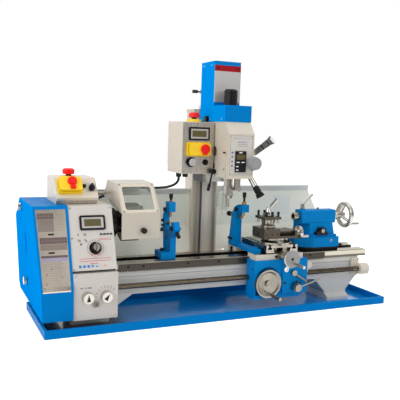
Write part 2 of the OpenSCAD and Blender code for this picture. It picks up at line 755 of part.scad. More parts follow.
module top_slide_wheel() {
  color(chrome) {
    cyl_x(278, 284, comp_y, top_wheel_z, 17);
    cyl_x(284, 294, comp_y, top_wheel_z, 17, 15);
    cyl_x(294, 303, comp_y, top_wheel_z, 24);
    cyl_x(302, 330, comp_y - 13, top_wheel_z - 13, 4.6, 5.4);
  }
  color(steel) {
    cyl_x(comp_x0 + 6, 279, comp_y, top_wheel_z, 6);
    cyl_x(comp_x1 + 10, 278, comp_y, top_wheel_z, 12);
  }
}

module tool_post() {
  color(steel) difference() {
    union() {
      cyl_z(285, 293, post_x, comp_y, 25);
      cyl_z(293, 316, post_x, comp_y, 20, 26);
      translate([post_x - 33, comp_y - 33, 316]) cube([66, 66, 9]);
    }
    cyl_z(284, 326, post_x, comp_y, 7 + fit);
  }
  color(black) for (s = [-1, 1], t = [-24, 0, 24]) {
    cyl_z(302, 334, post_x + t, comp_y + s * 27, 4, $fn = 28);
    cyl_z(334, 343, post_x + t, comp_y + s * 27, 5, $fn = 6);
  }
}

module post_lever() color(chrome) {
  cyl_z(276, 327, post_x, comp_y, 7);
  cyl_z(325.3, 332, post_x, comp_y, 15);
  cyl_z(332, 352, post_x, comp_y, 13, 8);
  translate([post_x, comp_y, 352]) sphere(r = 8);
  bar([post_x, comp_y, 350], [200, comp_y, 384], 4.6, 6.2);
}

// ---------- tailstock ----------
// outline of the tailstock's foot, seen from above, with its left front corner cut back
module tail_foot(x0, x1, y0, y1, cx, cy)
  polygon([[x0 + cx, y0], [x1, y0], [x1, y1], [x0 + 20, y1], [x0, y1 - 20], [x0, y0 + cy]]);

module tailstock() {
  color(steel) slab_z(bed_top, 198) tail_foot(318, 492, tail_front + 2, tail_rear, 60, 34);
  color(blue) difference() {
    union() {
      slab_z(198, 235) tail_foot(318, 494, tail_front, tail_rear, 62, 34);
      slab_z(235, 243) tail_foot(340, 488, tail_front + 8, tail_rear - 4, 48, 30);
      // neck, wider at the rear and at its foot
      intersection() {
        slab_y(-22, 44) polygon([[342, 236], [338, 296], [472, 296], [486, 236]]);
        slab_z(236, 296) polygon([[374, -22], [490, -22], [490, 44], [344, 44]]);
      }
      slab_x(tail_x0, tail_x1) round_rect(-tail_r, tail_r, axis_z - tail_r - 3, axis_z + tail_r, 8);
      cyl_z(axis_z + 18, axis_z + 28, 352, 0, 10);
    }
    cyl_x(tail_x0 - 1, 476, 0, axis_z, 14 + fit);
    cyl_x(470, tail_x1 + 1, 0, axis_z, 7 + fit);
    cyl_z(axis_z + 15, axis_z + 30, 352, 0, 5 + fit);
    cyl_y(tail_front - 1, tail_front + 4, 460, 222, 5);
  }
  // clamp strap with its nut, and the oil cup
  color(black) {
    slab_y(-40, -22) polygon([[394, 243], [446, 243], [446, 250], [436, 256], [432, 270], [408, 270],
      [402, 256], [394, 252]]);
    cyl_z(axis_z + 23, axis_z + 31, 420, 0, 5);
  }
  color(chrome) cyl_y(-48, -40, 416, 260, 8, $fn = 6);
}

module tailstock_quill() color(chrome) difference() {
  cyl_x(312, 440, 0, axis_z, 14);
  cyl_x(311, 350, 0, axis_z, 9, 7 + fit);
  cyl_x(349, 441, 0, axis_z, 7 + fit);
}

module tail_wheel() {
  color(chrome) {
    difference() {
      union() {
        cyl_x(538, 541, 0, axis_z, tail_wheel_r - 3, tail_wheel_r);
        cyl_x(541, 550, 0, axis_z, tail_wheel_r);
        cyl_x(550, 554, 0, axis_z, tail_wheel_r, tail_wheel_r - 4);
      }
      cyl_x(537, 546, 0, axis_z, tail_wheel_r - 13, tail_wheel_r - 17);
      cyl_x(545.9, 555, 0, axis_z, tail_wheel_r - 17, tail_wheel_r - 12);
    }
    for (a = [95, 215, 335]) bar([528, 8 * cos(a), axis_z + 8 * sin(a)],
      [545, (tail_wheel_r - 8) * cos(a), axis_z + (tail_wheel_r - 8) * sin(a)], 6, 5);
    cyl_x(tail_x1 + 14, 540, 0, axis_z, 14, 12);
    cyl_x(376, 533, 0, axis_z, 7);
    cyl_x(546, 588, -30, axis_z - 32, 4, 4.6);
    cyl_x(554, 588, -30, axis_z - 32, 5.8);
  }
  color(steel) cyl_x(tail_x1 + 0.2, tail_x1 + 14, 0, axis_z, 22, 19);
}

module quill_lever() color(chrome) {
  cyl_z(axis_z + 18, axis_z + 29, 352, 0, 5);
  cyl_z(axis_z + 28, axis_z + 46, 352, 0, 9, 8);
  bar([352, 0, axis_z + 42], [392, 0, axis_z + 80], 4.6, 6.4);
}

// ---------- steady rest ----------
module steady_rest() {
  color(blue) difference() {
    union() {
      box(steady_x - 41, steady_x + 10, -30, 34, bed_top, 208);
      slab_x(steady_x - 10, steady_x + 10) difference() {
        union() {
          intersection() {
            translate([0, axis_z]) circle(r = ring_out);
            polygon([[-14, 400], [80, 400], [80, 240], [-14, 240]]);
          }
          polygon([[-30, 206], [-30, 258], [-50, 266], [-66, 288], [-52, 313], [-20, 300], [44, 300],
            [38, 250], [34, 206]]);
        }
        translate([0, axis_z]) circle(r = ring_in);
        polygon([[-14, 216], [34, 216], [28, 246], [2, 262]]);
      }
      box(steady_x - 12, steady_x + 10, -18, 16, axis_z + 31, axis_z + 63);
    }
    cyl_z(axis_z + 20, axis_z + 70, steady_x, 0, 4.5 + fit);
    for (a = [210, 330]) translate([steady_x, 0, axis_z]) rotate([a, 0, 0]) translate([0, 20, 0])
      rotate([-90, 0, 0]) cylinder(r = 4.5 + fit, h = 80);
  }
  color(black) {
    for (p = [[20, 346, 7], [39, 306, 5], [38, 290, 4], [-42, 290, 7]])
      cyl_x(steady_x - 17, steady_x - 9, p[0], p[1], p[2]);
    cyl_z(208, 217, steady_x - 26, 4, 7);
    cyl_x(steady_x + 10, steady_x + 15, -52, 290, 5);
  }
}

module steady_fingers() for (a = [90, 210, 330])
  translate([steady_x, 0, axis_z]) rotate([a, 0, 0]) rotate([-90, 0, 0]) {
    color(bronze) {
      translate([0, 0, 16]) cylinder(r = 4.5, h = 52);
      translate([0, 0, 12]) cylinder(r1 = 3, r2 = 4.5, h = 4);
    }
    color(black) {
      translate([0, 0, 67]) cylinder(r = 4, h = 8);
      translate([0, 0, 74]) cylinder(r = 6.5, h = 16);
    }
  }

// ---------- milling head ----------
module mill_head() {
  color(cream) difference() {
    union() {
      slab_x(-9, 86) polygon([[mill_front, mill_z0], [mill_front, 607], [-55, mill_z1], [112, mill_z1],
        [112, mill_z0]]);
      slab_x(-14, -8) polygon([[-70, 452 + 10], [-32, 462], [-32, 546], [-70, 546]]);
      box(box_x1 - 4, box_x1 + 1, 40, 108, 490, 620);
    }
    cyl_z(mill_z0 - 1, 600, mill_x, 0, 16 + fit);
    cyl_z(599, 650, mill_x, 0, 8 + fit);
    cyl_x(60, 87, hub_y, hub_z, 9 + fit);
    cyl_y(mill_front - 1, -55, fine_x, fine_z, 5 + fit);
    cyl_x(-15, 2, lever_y, lever_z, 5 + fit);
    translate([62, -38, mill_z0 - 1]) cylinder(r = 4 + fit, h = 90);
  }
  // slide on the column
  color(dark) {
    box(-9, 89, 112, 190, 430, 640);
    box(-7, 5, 150, 204, 438, 636);
    box(85, 97, 150, 204, 438, 636);
  }
  // framed front plate and depth readout
  color(cream) difference() {
    box(-8, 81, mill_front - 2, mill_front, 468, 603);
    cyl_y(mill_front - 3, -55, fine_x, fine_z, 5 + fit);
  }
  color(black) difference() {
    box(14, 54, mill_front - 6, mill_front - 2, 480, 550);
    box(18, 50, mill_front - 7, mill_front - 5, 522, 539);
  }
  color([0.45, 0.45, 0.25]) box(18, 50, mill_front - 5, mill_front - 4, 522, 539);
  color(chrome) cyl_z(414, mill_z0, shield_px, shield_py, 4);
  color(chrome) cyl_z(410, 414, shield_px, shield_py, 6);
  color(chrome) cyl_z(343, 348, shield_px, shield_py, 6);
  color(chrome) cyl_z(346, 414, shield_px, shield_py, 4);
}

module motor_cover() {
  color(blue) difference() {
    union() {
      slab_z(mill_z1, cover_step) round_rect(-12, 89, -57, cover_back, cover_r);
      slab_z(cover_step, cover_top) round_rect(-12, 89, 33, cover_back, cover_r);
    }
    cyl_z(mill_z1 - 1, cover_step + 1, mill_x, -10, 12);
  }
  color(black) {
    cyl_z(cover_step, 751, 31, -10, 23);
    cyl_z(751, 756, 31, -10, 23, 18);
    cyl_x(-24, -12, 78, 655, 10);
  }
}

module mill_box() {
  color(cream) difference() {
    box(box_x0, box_x1 - 4, box_y, 150, box_z0, box_z1);
    cyl_y(box_y - 5, 40, -98, 506, 4 + fit);
    cyl_y(box_y - 5, 40, -46, 506, 4 + fit);
    cyl_z(620, box_z1 + 1, mill_stop_x, 62, 9 + fit);
  }
  color(steel) difference() {
    box(box_x0 + 2, box_x1 - 6, box_y - 2, box_y, box_z0 + 2, box_z1 - 2);
    cyl_y(box_y - 5, 40, -98, 506, 4 + fit);
    cyl_y(box_y - 5, 40, -46, 506, 4 + fit);
  }
  color(black) difference() {
    slab_y(box_y - 6, box_y - 2) round_rect(-108, -32, 580, 625, 4);
    box(-102, -38, box_y - 7, box_y - 4, 586, 619);
  }
  color([0.45, 0.45, 0.25]) box(-96, -44, box_y - 5, box_y - 4, 592, 613);
  color(yellow) difference() {
    slab_y(box_y - 14, box_y - 2) round_rect(-116, -32, 526, 574, 6);
    box(-109, -39, box_y - 15, box_y - 8, 533, 566);
  }
  color(black) box(-84, -64, box_y - 12, box_y - 7, 542, 560);
  color(chrome) difference() {
    box(-60, -32, box_y - 4, box_y - 2, 490, 522);
    cyl_y(box_y - 5, 40, -46, 506, 4 + fit);
  }
  color(yellow) difference() {
    cyl_z(box_z1, box_z1 + 10, mill_stop_x, 62, 27, 25);
    cyl_z(box_z1 - 10, box_z1 + 11, mill_stop_x, 62, 9 + fit);
  }
  // cable glands
  color(black) for (p = [[-120, 70], [-100, 60]]) cyl_z(box_z0 - 14, box_z0, p[0], p[1], 9, 10);
}

module mill_quill() {
  color(chrome) difference() {
    union() {
      cyl_z(415, 540, mill_x, 0, 16);
      cyl_z(415, 424, mill_x, 0, 20);
      box(42, 66, -46, -8, 415, 424);
      box(44, 62, -46, -30, 415, mill_z0 - 0.3);
    }
    cyl_z(414, 541, mill_x, 0, 8 + fit);
  }
  color(steel) cyl_z(410, 500, 62, -38, 4);
}

module mill_spindle() {
  color(chrome) {
    cyl_z(383, 391, mill_x, 0, 14, 17);
    cyl_z(391, 414.8, mill_x, 0, 17);
    cyl_z(414, 640, mill_x, 0, 8);
  }
  color(steel) cyl_z(352, 384, mill_x, 0, 6, 7);
}

module feed_hub() {
  color(chrome) {
    cyl_x(62, hub_x, hub_y, hub_z, 9);
    cyl_x(hub_x, 96, hub_y, hub_z, 26, 24);
    cyl_x(96, 106, hub_y, hub_z, 20, 14);
  }
  for (a = [137, 257, 17]) {
    c = cos(a);
    s = sin(a);
    color(chrome) bar([98, hub_y + 12 * c, hub_z + 12 * s], [124, hub_y + 60 * c, hub_z + 60 * s], 5);
    // stepped grip: distance along the arm, distance out from the hub, radii of each step
    color(black) for (g = [[48, 53, 9, 9], [52.8, 84, 10, 11], [83.8, 88, 8.5, 8.5], [87.8, 106, 11, 12],
      [105.8, 109, 9.5, 9.5], [108.8, 122, 12, 16]])
      bar([98 + (g[0] - 12) * 0.542, hub_y + g[0] * c, hub_z + g[0] * s],
        [98 + (g[1] - 12) * 0.542, hub_y + g[1] * c, hub_z + g[1] * s], g[2], g[3]);
  }
}

module fine_feed_wheel() {
  color(chrome) {
    cyl_y(-104, -60, fine_x, fine_z, 5);
    cyl_y(-108, -98, fine_x, fine_z, 11);
    cyl_y(-124, -106, fine_x, fine_z, 24, 21);
  }
  color(black) cyl_y(-126, -124, fine_x, fine_z, 15);
}

// curved clear shield round the cutter, on an upright pin
module drill_guard() color(clear) {
  difference() {
    cyl_z(348, 402, mill_x, 0, 47);
    cyl_z(347, 403, mill_x, 0, 44.5);
    translate([mill_x, 0, 340]) rotate([0, 0, -30]) translate([0, -60, 0]) cube([80, 120, 70]);
    translate([mill_x, 0, 340]) rotate([0, 0, 15]) translate([0, 0, 0]) cube([80, 80, 70]);
    cyl_z(347, 403, shield_px, shield_py, 4 + fit);
  }
  difference() {
    cyl_z(348, 402, shield_px, shield_py, 8);
    cyl_z(347, 403, shield_px, shield_py, 4 + fit);
  }
  slab_z(348, 402) polygon([[shield_px + 3, shield_py + 6], [shield_px + 7, shield_py + 3],
    [mill_x - 46 * cos(57), -46 * sin(57)], [mill_x - 46 * cos(50), -46 * sin(50)]]);
}

module lock_lever() {
  color(black) {
    cyl_x(-26, -14.2, lever_y, lever_z, 9);
    cyl_x(-15, -2, lever_y, lever_z, 5);
    bar([-22, lever_y, lever_z - 4], [-32, lever_y + 4, 412], 3.2);
    bar([-29, lever_y + 3, 432], [-33, lever_y + 5, 408], 5.5);
  }
}

module mill_stop_button() {
  color(red) {
    cyl_z(658, 671, mill_stop_x, 62, 19, 17);
    cyl_z(671, 675, mill_stop_x, 62, 17, 11);
  }
  color(black) cyl_z(628, 659, mill_stop_x, 62, 9);
}

module mill_switch_flap() {
  color(yellow) {
    slab_y(-6, 1) round_rect(-113, -35, 530, 570, 6);
    cyl_x(-104, -44, 3, 568, 2.9);
  }
  color(red) {
    cyl_y(-14, -6, -58, 552, 15, 16);
    box(-66, -50, -12, -6, 532, 548);
  }
}

module mill_speed_dial() {
  color(black) {
    cyl_y(box_y - 5, box_y - 2, -98, 506, 17);
    cyl_y(box_y - 18, box_y - 2, -98, 506, 12, 13);
  }
  color(chrome) box(-99.5, -96.5, box_y - 20, box_y - 16, 495, 518);
  color(steel) cyl_y(box_y - 3, 38, -98, 506, 4);
}

module mill_direction_knob() {
  color(black) {
    cyl_y(box_y - 9, box_y - 4, -46, 506, 10);
    box(-49, -43, box_y - 18, box_y - 5, 497, 515);
  }
  color(steel) cyl_y(box_y - 5, 38, -46, 506, 4);
}

module lift_crank() {
  color(steel) {
    cyl_z(column_top - 50, column_top + 0.5, mill_x, 238, 8);
    cyl_z(column_top + 0.2, column_top + 14, mill_x, 238, 14, 12);
    cyl_z(column_top + 13, column_top + 60, mill_x, 238, 7);
    cyl_z(column_top + 56, column_top + 76, mill_x, 238, 10);
    bar([mill_x, 238, column_top + 66], [14, 238, column_top + 66], 5.5, 4.5);
  }
  color(black) bar([16, 238, column_top + 66], [-3, 238, column_top + 66], 6.5);
}

// lead from the head's control box to the headstock box, swept through hand-set points
cable_path = [[-120, 70, 452], [-120, 70, 444], [-121, 74, 436], [-124, 80, 429], [-129, 90, 422],
  [-137, 103, 416], [-148, 118, 411], [-162, 133, 408], [-180, 147, 406], [-204, 159, 405],
  [-236, 169, 404], [-272, 177, 399], [-308, 183, 391], [-344, 187, 379], [-376, 189, 366],
  [-400, 188, 355], [-416, 184, 348], [-426, 178, 345.5], [-429.5, 171, 345], [-430, 164, 345],
  [-430, head_back + 8, 345]];
cable_r = 4.5;
cable_n = 8;
function cable_dir(i) = let (a = cable_path[max(i - 1, 0)],
  b = cable_path[min(i + 1, len(cable_path) - 1)]) (b - a) / norm(b - a);
function cable_side(i) = let (d = cable_dir(i), s = cross(d, [0.3, 1, 0.2])) s / norm(s);
module head_cable() color(black) polyhedron(
  points = [for (i = [0 : len(cable_path) - 1], k = [0 : cable_n - 1])
    let (s = cable_side(i), t = cross(cable_dir(i), s), a = k * 360 / cable_n)
      cable_path[i] + cable_r * (cos(a) * s + sin(a) * t)],
  faces = concat([[for (k = [0 : cable_n - 1]) k]],
    [[for (k = [0 : cable_n - 1]) (len(cable_path) - 1) * cable_n + cable_n - 1 - k]],
    [for (i = [0 : len(cable_path) - 2], k = [0 : cable_n - 1])
      [i * cable_n + k, (i + 1) * cable_n + k, (i + 1) * cable_n + (k + 1) % cable_n,
        i * cable_n + (k + 1) % cable_n]]));

// ---------- parts ----------
chip_tray();
bed();
gear_rack();
screw_bracket();
headstock();
gear_cover();
cover_knobs();
control_panel();
gearbox();
control_box();
splash_guard();
column();
drive_motor();
spindle();
chuck();
chuck_jaws();
lead_screw();
chuck_guard();
guard_window();
speed_dial();
selector_left();
selector_right();
direction_knob();
stop_button();
switch_flap();
saddle();
apron();
follow_rest();
follow_fingers();
apron_wheel();
half_nut_lever();
feed_lever();
cross_slide();
cross_wheel();
swivel_base();
top_slide();
top_slide_wheel();
tool_post();
post_lever();
tailstock();
tailstock_quill();
tail_wheel();
quill_lever();
steady_rest();
steady_fingers();
mill_head();
motor_cover();
mill_box();
mill_quill();
mill_spindle();
feed_hub();
fine_feed_wheel();
drill_guard();
lock_lever();
mill_stop_button();
mill_switch_flap();
mill_speed_dial();
mill_direction_knob();
lift_crank();
head_cable();
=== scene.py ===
"""Dresses the solids of a benchtop lathe with a milling head: paint, marks, small fittings, a camera and a studio.

Lengths are millimetres, as in the solids' source, and MM turns them into metres. Camera, lamps, floor and world are
in metres. X runs along the bed towards the tailstock, Y to the back and Z up.
"""
import bpy, bmesh, math
from mathutils import Matrix, Vector


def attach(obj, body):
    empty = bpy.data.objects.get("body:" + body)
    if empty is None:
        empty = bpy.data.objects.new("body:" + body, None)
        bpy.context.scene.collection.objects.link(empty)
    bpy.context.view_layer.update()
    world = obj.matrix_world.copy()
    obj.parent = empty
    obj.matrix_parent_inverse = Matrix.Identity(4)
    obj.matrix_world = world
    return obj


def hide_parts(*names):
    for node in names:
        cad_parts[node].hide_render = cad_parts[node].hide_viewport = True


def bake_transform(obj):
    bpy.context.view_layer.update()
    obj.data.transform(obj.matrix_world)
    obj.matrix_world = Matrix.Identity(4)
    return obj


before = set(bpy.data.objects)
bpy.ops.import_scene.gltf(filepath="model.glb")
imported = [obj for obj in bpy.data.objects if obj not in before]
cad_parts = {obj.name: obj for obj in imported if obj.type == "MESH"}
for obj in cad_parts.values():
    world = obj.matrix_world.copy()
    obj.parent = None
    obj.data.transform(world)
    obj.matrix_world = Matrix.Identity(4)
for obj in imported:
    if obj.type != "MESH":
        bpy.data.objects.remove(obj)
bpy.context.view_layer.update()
scene = bpy.context.scene
scene.view_settings.view_transform = "Standard"
MM = 0.001


# ---------- camera ----------
YAW, PITCH, ROLL = (math.radians(a) for a in (24.647, 6.515, 1.927))
CAMERA_AT = (-0.94153, -1.90540, 0.61709)
LENS, SENSOR, FAR = 55.54, 36.0, 50


def make_camera():
    forward = Vector((math.sin(YAW) * math.cos(PITCH), math.cos(YAW) * math.cos(PITCH), -math.sin(PITCH)))
    side = Vector((math.cos(YAW), -math.sin(YAW), 0))
    up = side.cross(forward)
    rolled_side = math.cos(ROLL) * side + math.sin(ROLL) * up
    rolled_up = -math.sin(ROLL) * side + math.cos(ROLL) * up
    m = Matrix((rolled_side, rolled_up, -forward)).transposed().to_4x4()
    m.translation = Vector(CAMERA_AT)
    data = bpy.data.cameras.new("camera")
    data.lens, data.sensor_width, data.clip_end = LENS, SENSOR, FAR
    cam = bpy.data.objects.new("camera", data)
    cam.matrix_world = m
    scene.collection.objects.link(cam)
    scene.camera = cam


make_camera()


# ---------- materials ----------
def lin(rgb):
    """Turns an sRGB colour of 0 to 255 into a linear one with alpha."""
    return tuple(((c / 255) / 12.92 if c <= 10 else (((c / 255) + 0.055) / 1.055) ** 2.4) for c in rgb) + (1,)


COAT_ROUGHNESS = 0.08
NOISE_LOW, NOISE_HIGH = 0.3, 0.7
BUMP_DEPTH = 0.001
LATHE_MARKS = 0.8


def node(nt, kind, links=(), **inputs):
    """Adds a node; links pairs an input's name with the output it takes, inputs are plain values."""
    n = nt.nodes.new(kind)
    for k, v in inputs.items():
        n.inputs[k.replace("_", " ")].default_value = v
    for k, output in links:
        nt.links.new(output, n.inputs[k])
    return n


def material(name, rgb, rough=0.4, metal=0.0, coat=0.0, vary=0.06, scale=25, stretch=(1, 1, 1),
             rough_vary=0.08, bump=0.0, bump_scale=300, alpha=1.0, spec=0.5, radial=False):
    """A finish whose colour and roughness vary a little with noise; radial gives the sheen of a turned face."""
    m = bpy.data.materials.new(name)
    m.use_nodes = True
    nt = m.node_tree
    b = nt.nodes["Principled BSDF"]
    for k, v in (("Metallic", metal), ("Specular IOR Level", spec), ("Coat Weight", coat),
                 ("Coat Roughness", COAT_ROUGHNESS), ("Alpha", alpha)):
        b.inputs[k].default_value = v
    coords = node(nt, "ShaderNodeTexCoord").outputs["Object"]
    place = node(nt, "ShaderNodeMapping", [("Vector", coords)], Scale=stretch).outputs["Vector"]
    noise = node(nt, "ShaderNodeTexNoise", [("Vector", place)], Scale=scale, Detail=5).outputs["Fac"]
    base = lin(rgb)[:3]
    mix = nt.nodes.new("ShaderNodeMix")
    mix.data_type = "RGBA"
    mix.inputs["A"].default_value = tuple(max(0, c * (1 - vary)) for c in base) + (1,)
    mix.inputs["B"].default_value = tuple(min(1, c * (1 + vary)) for c in base) + (1,)
    nt.links.new(noise, mix.inputs["Factor"])
    nt.links.new(mix.outputs["Result"], b.inputs["Base Color"])
    spread = node(nt, "ShaderNodeMapRange", [("Value", noise)], From_Min=NOISE_LOW, From_Max=NOISE_HIGH,
                  To_Min=max(0.02, rough - rough_vary), To_Max=min(1, rough + rough_vary))
    nt.links.new(spread.outputs["Result"], b.inputs["Roughness"])
    if radial:
        tangent = nt.nodes.new("ShaderNodeTangent")
        tangent.direction_type, tangent.axis = "RADIAL", "Y"
        nt.links.new(tangent.outputs["Tangent"], b.inputs["Tangent"])
        b.inputs["Anisotropic"].default_value = LATHE_MARKS
    if bump:
        grain = node(nt, "ShaderNodeTexNoise", [("Vector", place)], Scale=bump_scale, Detail=3)
        relief = node(nt, "ShaderNodeBump", [("Height", grain.outputs["Fac"])], Distance=BUMP_DEPTH, Strength=bump)
        nt.links.new(relief.outputs["Normal"], b.inputs["Normal"])
    return m


SMOOTH = dict(coat=0.15, spec=0.3, vary=0.03, bump=0.03, bump_scale=200)
ROUGH_CAST = dict(coat=0.12, spec=0.3, vary=0.04, bump=0.2, bump_scale=180)
SHEET_COAT = dict(coat=0.1, rough_vary=0.02, vary=0.02, bump=0.03, bump_scale=150)
LONG_GRIND = dict(scale=12, stretch=(0.5, 9, 9))

M = dict(
    blue=material("blue_enamel", (0, 124, 200), 0.4, spec=0.03, vary=0.05, bump=0.03, bump_scale=160),
    # painted light: a brighter copy of the blue, without gloss, for the faces that look left towards the key lamp
    blue_painted_lit_side=material("blue_enamel_painted_lit_side", (0, 148, 238), 0.5, spec=0.0, vary=0.04, bump=0.03, bump_scale=160),
    blue_cast=material("blue_cast_enamel", (0, 128, 200), 0.4, spec=0.06, vary=0.1, bump=0.25, bump_scale=220),
    cream=material("cream_enamel", (218, 208, 192), 0.34, **SMOOTH),
    guard_cream=material("guard_cream", (200, 192, 178), 0.34, **SMOOTH),
    cast=material("cream_cast_enamel", (212, 204, 188), 0.4, **ROUGH_CAST),
    grey_enamel=material("grey_enamel", (208, 202, 196), 0.34, **SMOOTH),
    bed_cast=material("bed_enamel", (212, 210, 204), 0.4, **ROUGH_CAST),
    way_edge=material("way_edge", (236, 228, 206), 0.4, 0.3, vary=0.1, **LONG_GRIND),
    grip=material("grip_grey", (102, 105, 100), 0.42, vary=0.1, spec=0.3),
    rack=material("rack_steel", (74, 69, 63), 0.36, 0.9, vary=0.2, scale=40, stretch=(0.5, 6, 6), bump=0.06),
    dial=material("brushed_dial", (158, 152, 141), 0.3, 1.0, vary=0.08, scale=60, radial=True),
    screw_steel=material("screw_steel", (118, 108, 92), 0.3, 1.0, vary=0.1, scale=40),
    guard=material("guard_enamel", (248, 252, 238), 0.36, **SHEET_COAT),
    guard_low=material("guard_enamel_low", (250, 248, 232), 0.36, **SHEET_COAT),
    steel=material("ground_steel", (140, 134, 124), 0.26, 1.0, vary=0.14, scale=30, stretch=(0.6, 8, 8),
                   bump=0.04, bump_scale=400),
    way=material("ground_way", (170, 161, 146), 0.24, 1.0, vary=0.22, rough_vary=0.1, **LONG_GRIND),
    turned=material("turned_steel", (168, 162, 152), 0.26, 1.0, vary=0.1, scale=60, bump=0.05, bump_scale=500),
    dark_steel=material("blackened_steel", (92, 84, 74), 0.34, 0.9, vary=0.2, scale=40, bump=0.08),
    chrome=material("chrome_plate", (206, 204, 198), 0.14, 1.0, vary=0.03, rough_vary=0.04),
    cast_metal=material("polished_casting", (206, 201, 192), 0.28, 1.0, vary=0.08, scale=60,
                        bump=0.12, bump_scale=260),
    bronze=material("bronze", (182, 142, 84), 0.3, 1.0, vary=0.15, scale=60),
    # black plastic for knobs and grips, and also for the strip that stands in for the shadow gap under the panel
    black=material("black_plastic", (20, 20, 21), 0.38, spec=0.25, vary=0.2, bump=0.1, bump_scale=500),
    # black oxide for the parts that are blackened, and also black paint standing in for shade on undersides,
    # pockets, grooves and shadowed faces
    blacking=material("black_oxide_and_painted_shade", (22, 21, 21), 0.3, 0.5, spec=0.3, vary=0.25, scale=50),
    yellow=material("yellow_plastic", (250, 208, 16), 0.36, coat=0.1, vary=0.05),
    red=material("red_plastic", (240, 22, 24), 0.34, spec=0.25, vary=0.05),
    grey_knob=material("grey_plastic", (150, 151, 151), 0.42, vary=0.1),
    stainless=material("stainless_plate", (198, 192, 184), 0.3, 1.0, vary=0.1, scale=40, stretch=(12, 1, 0.5)),
    plate=material("chart_plate", (216, 205, 190), 0.3, 0.85, vary=0.12, scale=14, stretch=(1, 1, 0.5)),
    plate_ink=material("chart_field", (116, 98, 96), 0.42, 0.4, vary=0.1),
    lcd=material("display_glass", (98, 90, 58), 0.3, vary=0.03, spec=0.2),
    bezel=material("display_bezel", (196, 192, 190), 0.35, 0.3, vary=0.04),
    clear=material("clear_sheet", (170, 178, 168), 0.06, vary=0.02, alpha=0.16, spec=0.3),
    red_ink=material("red_mark", (206, 72, 80), 0.5, vary=0.04),
    blue_ink=material("blue_mark", (40, 128, 200), 0.45, vary=0.04),
    orange_ink=material("orange_mark", (226, 150, 70), 0.45, vary=0.04),
    grey_ink=material("grey_mark", (120, 118, 116), 0.5, vary=0.05),
    white=material("white_mark", (238, 236, 232), 0.5, vary=0.02),
    rubber=material("cable_rubber", (26, 26, 27), 0.5, vary=0.15, bump=0.1, bump_scale=600),
    plate_mid=material("chart_grid", (160, 148, 138), 0.38, 0.6, vary=0.1),
    plate_line=material("chart_line", (182, 170, 164), 0.4, 0.5, vary=0.05),
    plate_shade=material("chart_rule", (138, 126, 118), 0.45, 0.4, vary=0.05),
    violet_ink=material("violet_field", (176, 166, 190), 0.4, 0.4, vary=0.06),
    violet_dot=material("violet_mark", (66, 88, 170), 0.45, vary=0.05),
    green_ink=material("green_mark", (150, 190, 160), 0.5, vary=0.05),
    pale_ink=material("pale_mark", (178, 186, 196), 0.5, vary=0.05),
    light_grey=material("grey_face", (150, 150, 150), 0.36, 0.5, vary=0.06),
    slide=material("slide_steel_painted_reflection", (240, 232, 218), 0.42, 0.35, vary=0.16, scale=30, stretch=(8, 8, 0.5),
                   bump=0.04, bump_scale=400),
    tray_floor=material("tray_floor_enamel_painted_shadow", (0, 142, 226), 0.2, coat=0.5, vary=0.04, rough_vary=0.03),
    placard_red=material("placard_band", (160, 20, 30), 0.5, spec=0.1, vary=0.03),
    placard_grey=material("placard_plate", (188, 185, 183), 0.4, 0.3, vary=0.06),
    # a pale sheet for the notice on the splash guard, also used as a painted highlight on the guard's top rim and
    # on the grips' ends
    sheet=material("notice_sheet", (240, 243, 238), 0.5, vary=0.02),
    oil=material("sight_glass", (120, 96, 62), 0.1, vary=0.1, coat=0.8),
)


def banded(key, axis, start, end, stops):
    """Shades a material along an axis of the object, from start to end.

    Each stop is a place, from 0 at the start to 1 at the end, and the brightness there.
    """
    nt = M[key].node_tree
    colour = nt.nodes["Principled BSDF"].inputs["Base Color"]
    plain = colour.links[0].from_socket
    coords = node(nt, "ShaderNodeTexCoord").outputs["Object"]
    sep = node(nt, "ShaderNodeSeparateXYZ", [("Vector", coords)])
    place = node(nt, "ShaderNodeMapRange", [("Value", sep.outputs[axis])], From_Min=start * MM, From_Max=end * MM)
    ramp = node(nt, "ShaderNodeValToRGB", [("Fac", place.outputs["Result"])])
    while len(ramp.color_ramp.elements) < len(stops):
        ramp.color_ramp.elements.new(0.5)
    for e, (pos, v) in zip(ramp.color_ramp.elements, stops):
        e.position, e.color = pos, (v, v, v, 1)
    mix = nt.nodes.new("ShaderNodeMix")
    mix.data_type, mix.blend_type = "RGBA", "MULTIPLY"
    mix.inputs["Factor"].default_value = 1.0
    nt.links.new(plain, mix.inputs["A"])
    nt.links.new(ramp.outputs["Color"], mix.inputs["B"])
    nt.links.new(mix.outputs["Result"], colour)


# the column's guide, painted with reflection and shade: a dark left edge, a slot painted black as shade, and a
# bright painted reflection on the flat that fades to the right
banded("slide", "X", 6, 84, ((0.0, 0.5), (0.15, 0.42), (0.165, 0.12), (0.25, 0.12), (0.28, 0.85), (0.55, 1.0),
                             (0.8, 0.85), (0.86, 0.4), (1.0, 0.34)))
# the bed's front edge: in the shade below, bright above
banded("way_edge", "Z", 162, 186, ((0.0, 0.18), (0.3, 0.22), (0.36, 1.0), (1.0, 1.0)))
# painted shadow: the tray's floor is painted black under the headstock, where the shade lies
banded("tray_floor", "X", -640, -330, ((0.0, 0.06), (0.8, 0.06), (1.0, 1.0)))


class Face:
    """A flat face to lay pieces on: u across it, v up it and w out of it, in millimetres."""

    def __init__(self, origin, u, v):
        self.o, self.u, self.v = Vector(origin), Vector(u).normalized(), Vector(v).normalized()
        self.w = self.u.cross(self.v)

    def at(self, u, v, w=0.0):
        return (self.o + self.u * u + self.v * v + self.w * w) * MM

    def up(self, p):
        return (p - self.o).dot(self.v)

    def out(self, p):
        return (p - self.o).dot(self.w)


def leaning(y, z, angle):
    """A face that looks to the front and leans back by an angle, from y, z up."""
    return Face((0, y, z), (1, 0, 0), (0, math.sin(angle), math.cos(angle)))


def front(y):
    return Face((0, y, 0), (1, 0, 0), (0, 0, 1))


